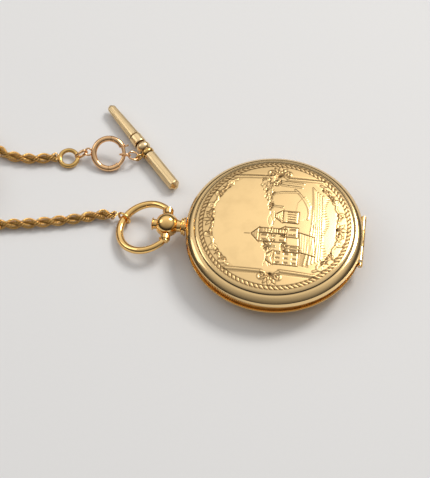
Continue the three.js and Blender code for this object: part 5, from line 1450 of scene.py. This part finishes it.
@dataclass
class DialWork:
    """The crystal and the figures and tracks painted on the dial.

    Args:
        dial_z: height of the dial's face.
        paint: how far the paint reaches below and above it.
        figure_r: radius of the hour figures' middles.
        hour_track, seconds_track: inner and outer radius of a minute or seconds track.
        seconds_at: middle of the seconds dial.
        glass_r, glass_inner_r, glass_z: the crystal's outer and inner radius and its seat's height.
    """

    dial_z: float = 7.5
    paint: Place = (-0.01, 0.03)
    hour_track: Place = (17.1, 18.0)
    seconds_track: Place = (3.4, 4.0)
    glass_r: float = 19.58
    glass_inner_r: float = 19.0
    glass_z: float = 8.54
    figure_r: float = 14.5
    seconds_at: Place = (0.0, 9.5)

    def build(self) -> None:
        """Builds the figures and the minute tracks on the enamel."""
        self._crystal()
        shells = self._tracks()
        hours = [h for h in range(1, 13) if h != 6]
        shells += [self._text(str(h), self.figure_r, h / 12, 3.7, (0, 0)) for h in hours]
        shells += [self._text(str(s), 2.55, s / 60, 0.85, self.seconds_at) for s in (15, 30, 45, 60)]
        Bench.build("dial_figures", Bench.joined(*shells), BLACK, Body.CASE, "dial_enamel")

    def _crystal(self) -> None:
        """Builds the domed crystal."""
        out, back = np.linspace(0, math.pi / 2, 18), np.linspace(math.pi / 2, 0, 18)
        outer = [(self.glass_r * math.sin(t), 9.02 + 0.78 * math.cos(t) ** 2) for t in out]
        inner = [(self.glass_inner_r * math.sin(t), self.glass_z + 0.76 * math.cos(t) ** 2) for t in back]
        outer[0], inner[-1] = (0.0, outer[0][1]), (0.0, inner[-1][1])
        dome = Bench.turned([*outer, (self.glass_r, self.glass_z), *inner], 128)
        Bench.build("crystal_dome", dome, CRYSTAL, Body.CASE, "crystal_glass", "crystal")

    def _bar(self, centre: Place, turn: float, r0: float, r1: float, wide: float) -> Shell:
        """A short radial stroke of paint."""
        a = -math.pi / 2 - math.tau * turn
        ux, uy = math.cos(a), math.sin(a)
        verts = []
        for z in (self.dial_z + h for h in self.paint):
            for r, s in ((r0, -1), (r1, -1), (r1, 1), (r0, 1)):
                x = centre[0] + r * ux - s * wide / 2 * uy
                y = centre[1] + r * uy + s * wide / 2 * ux
                verts.append((x, y, z))
        faces = [[3, 2, 1, 0], [4, 5, 6, 7], [0, 1, 5, 4], [1, 2, 6, 5], [2, 3, 7, 6], [3, 0, 4, 7]]
        return verts, faces

    def _circle(self, centre: Place, r: float, wide: float) -> Shell:
        """A painted circle."""
        z0, z1 = (self.dial_z + h for h in self.paint)
        shell = Bench.turned([(r, z0), (r + wide, z0), (r + wide, z1), (r, z1)], 180)
        return Bench.moved(shell, shift(*centre, 0))

    def _tracks(self) -> list[Shell]:
        """The minute and seconds tracks."""
        shells = [self._circle((0, 0), r, 0.13) for r in self.hour_track]
        shells += [self._circle(self.seconds_at, r, 0.06) for r in self.seconds_track]
        (start, end), (low, high) = self.hour_track, self.seconds_track
        for k in range(60):
            wide, thin = (0.42, 0.12) if k % 5 == 0 else (0.16, 0.06)
            shells.append(self._bar((0, 0), k / 60, start, end + 0.05, wide))
            shells.append(self._bar(self.seconds_at, k / 60, low, high, thin))
        return shells

    def _text(self, word: str, r: float, turn: float, size: float, centre: Place) -> Shell:
        """A figure at a clock angle, upright to a reader with twelve o'clock at the top.

        Args:
            word: the figure.
            r: its distance from the centre.
            turn: its share of a full turn from twelve.
            size: its height.
            centre: the ring's centre.

        Returns:
            Its shell in millimetres.
        """
        curve = bpy.data.curves.new("figure", "FONT")
        curve.body = word
        curve.size = size
        curve.extrude = 0.02
        curve.offset = 0.02 * size
        curve.align_x = "CENTER"
        curve.align_y = "CENTER"
        mesh = taken_mesh(bpy.data.objects.new("figure", curve))
        a = -math.pi / 2 - math.tau * turn
        x, y = centre[0] + r * math.cos(a), centre[1] + r * math.sin(a)
        place = shift(x, y, self.dial_z + 0.01) @ spin(math.pi, "Z")
        verts = [tuple(place @ v.co) for v in mesh.vertices]
        faces = [list(p.vertices) for p in mesh.polygons]
        bpy.data.meshes.remove(mesh)
        return verts, faces


class Dressing:
    """Gives every carried-over node its finish."""

    SLOTS = {
        "yellow_gold": GOLD,
        "rope_gold": ROPE_GOLD,
        "rose_gold": ROSE_GOLD,
        "gilt_brass": GILT,
        "polished_steel": STEEL,
        "blued_steel": BLUED,
        "crystal_glass": CRYSTAL,
        "dial_enamel": ENAMEL,
    }

    def apply(self) -> None:
        """Puts each node's finish in its material slots."""
        slots = {part["node"]: part["material_slot"] for part in frame["record"]["subparts"]}
        for name, node in frame["nodes"].items():
            # The case middle takes the darker gold: painted shade between the reeds.
            finish = BAND_SHADE_GOLD if name == "case_middle" else self.SLOTS[slots[name]]
            material = finish.material()
            for holder in node.material_slots:
                holder.material = material
            if not node.material_slots:
                node.data.materials.append(material)


def main() -> None:
    """Builds the scene: studio and chain first, then the case, the pendant and the dial."""
    logging.basicConfig(level=logging.INFO, format="%(name)s %(message)s")
    Studio().build()
    Dressing().apply()
    rope, length, path = RopeChain().build()
    far = [*Fittings().build(), *ToggleBar().build()]
    Bench.file(rope, Body.CASE, "rope_gold", "chain_run_to_bow", "chain_coil", "chain_run_to_fittings")
    lids = Lids()
    lids.front()
    lids.back()
    CaseMiddle().build()
    Pendant().build()
    DialWork().build()


if __name__ == "__main__":
    main()
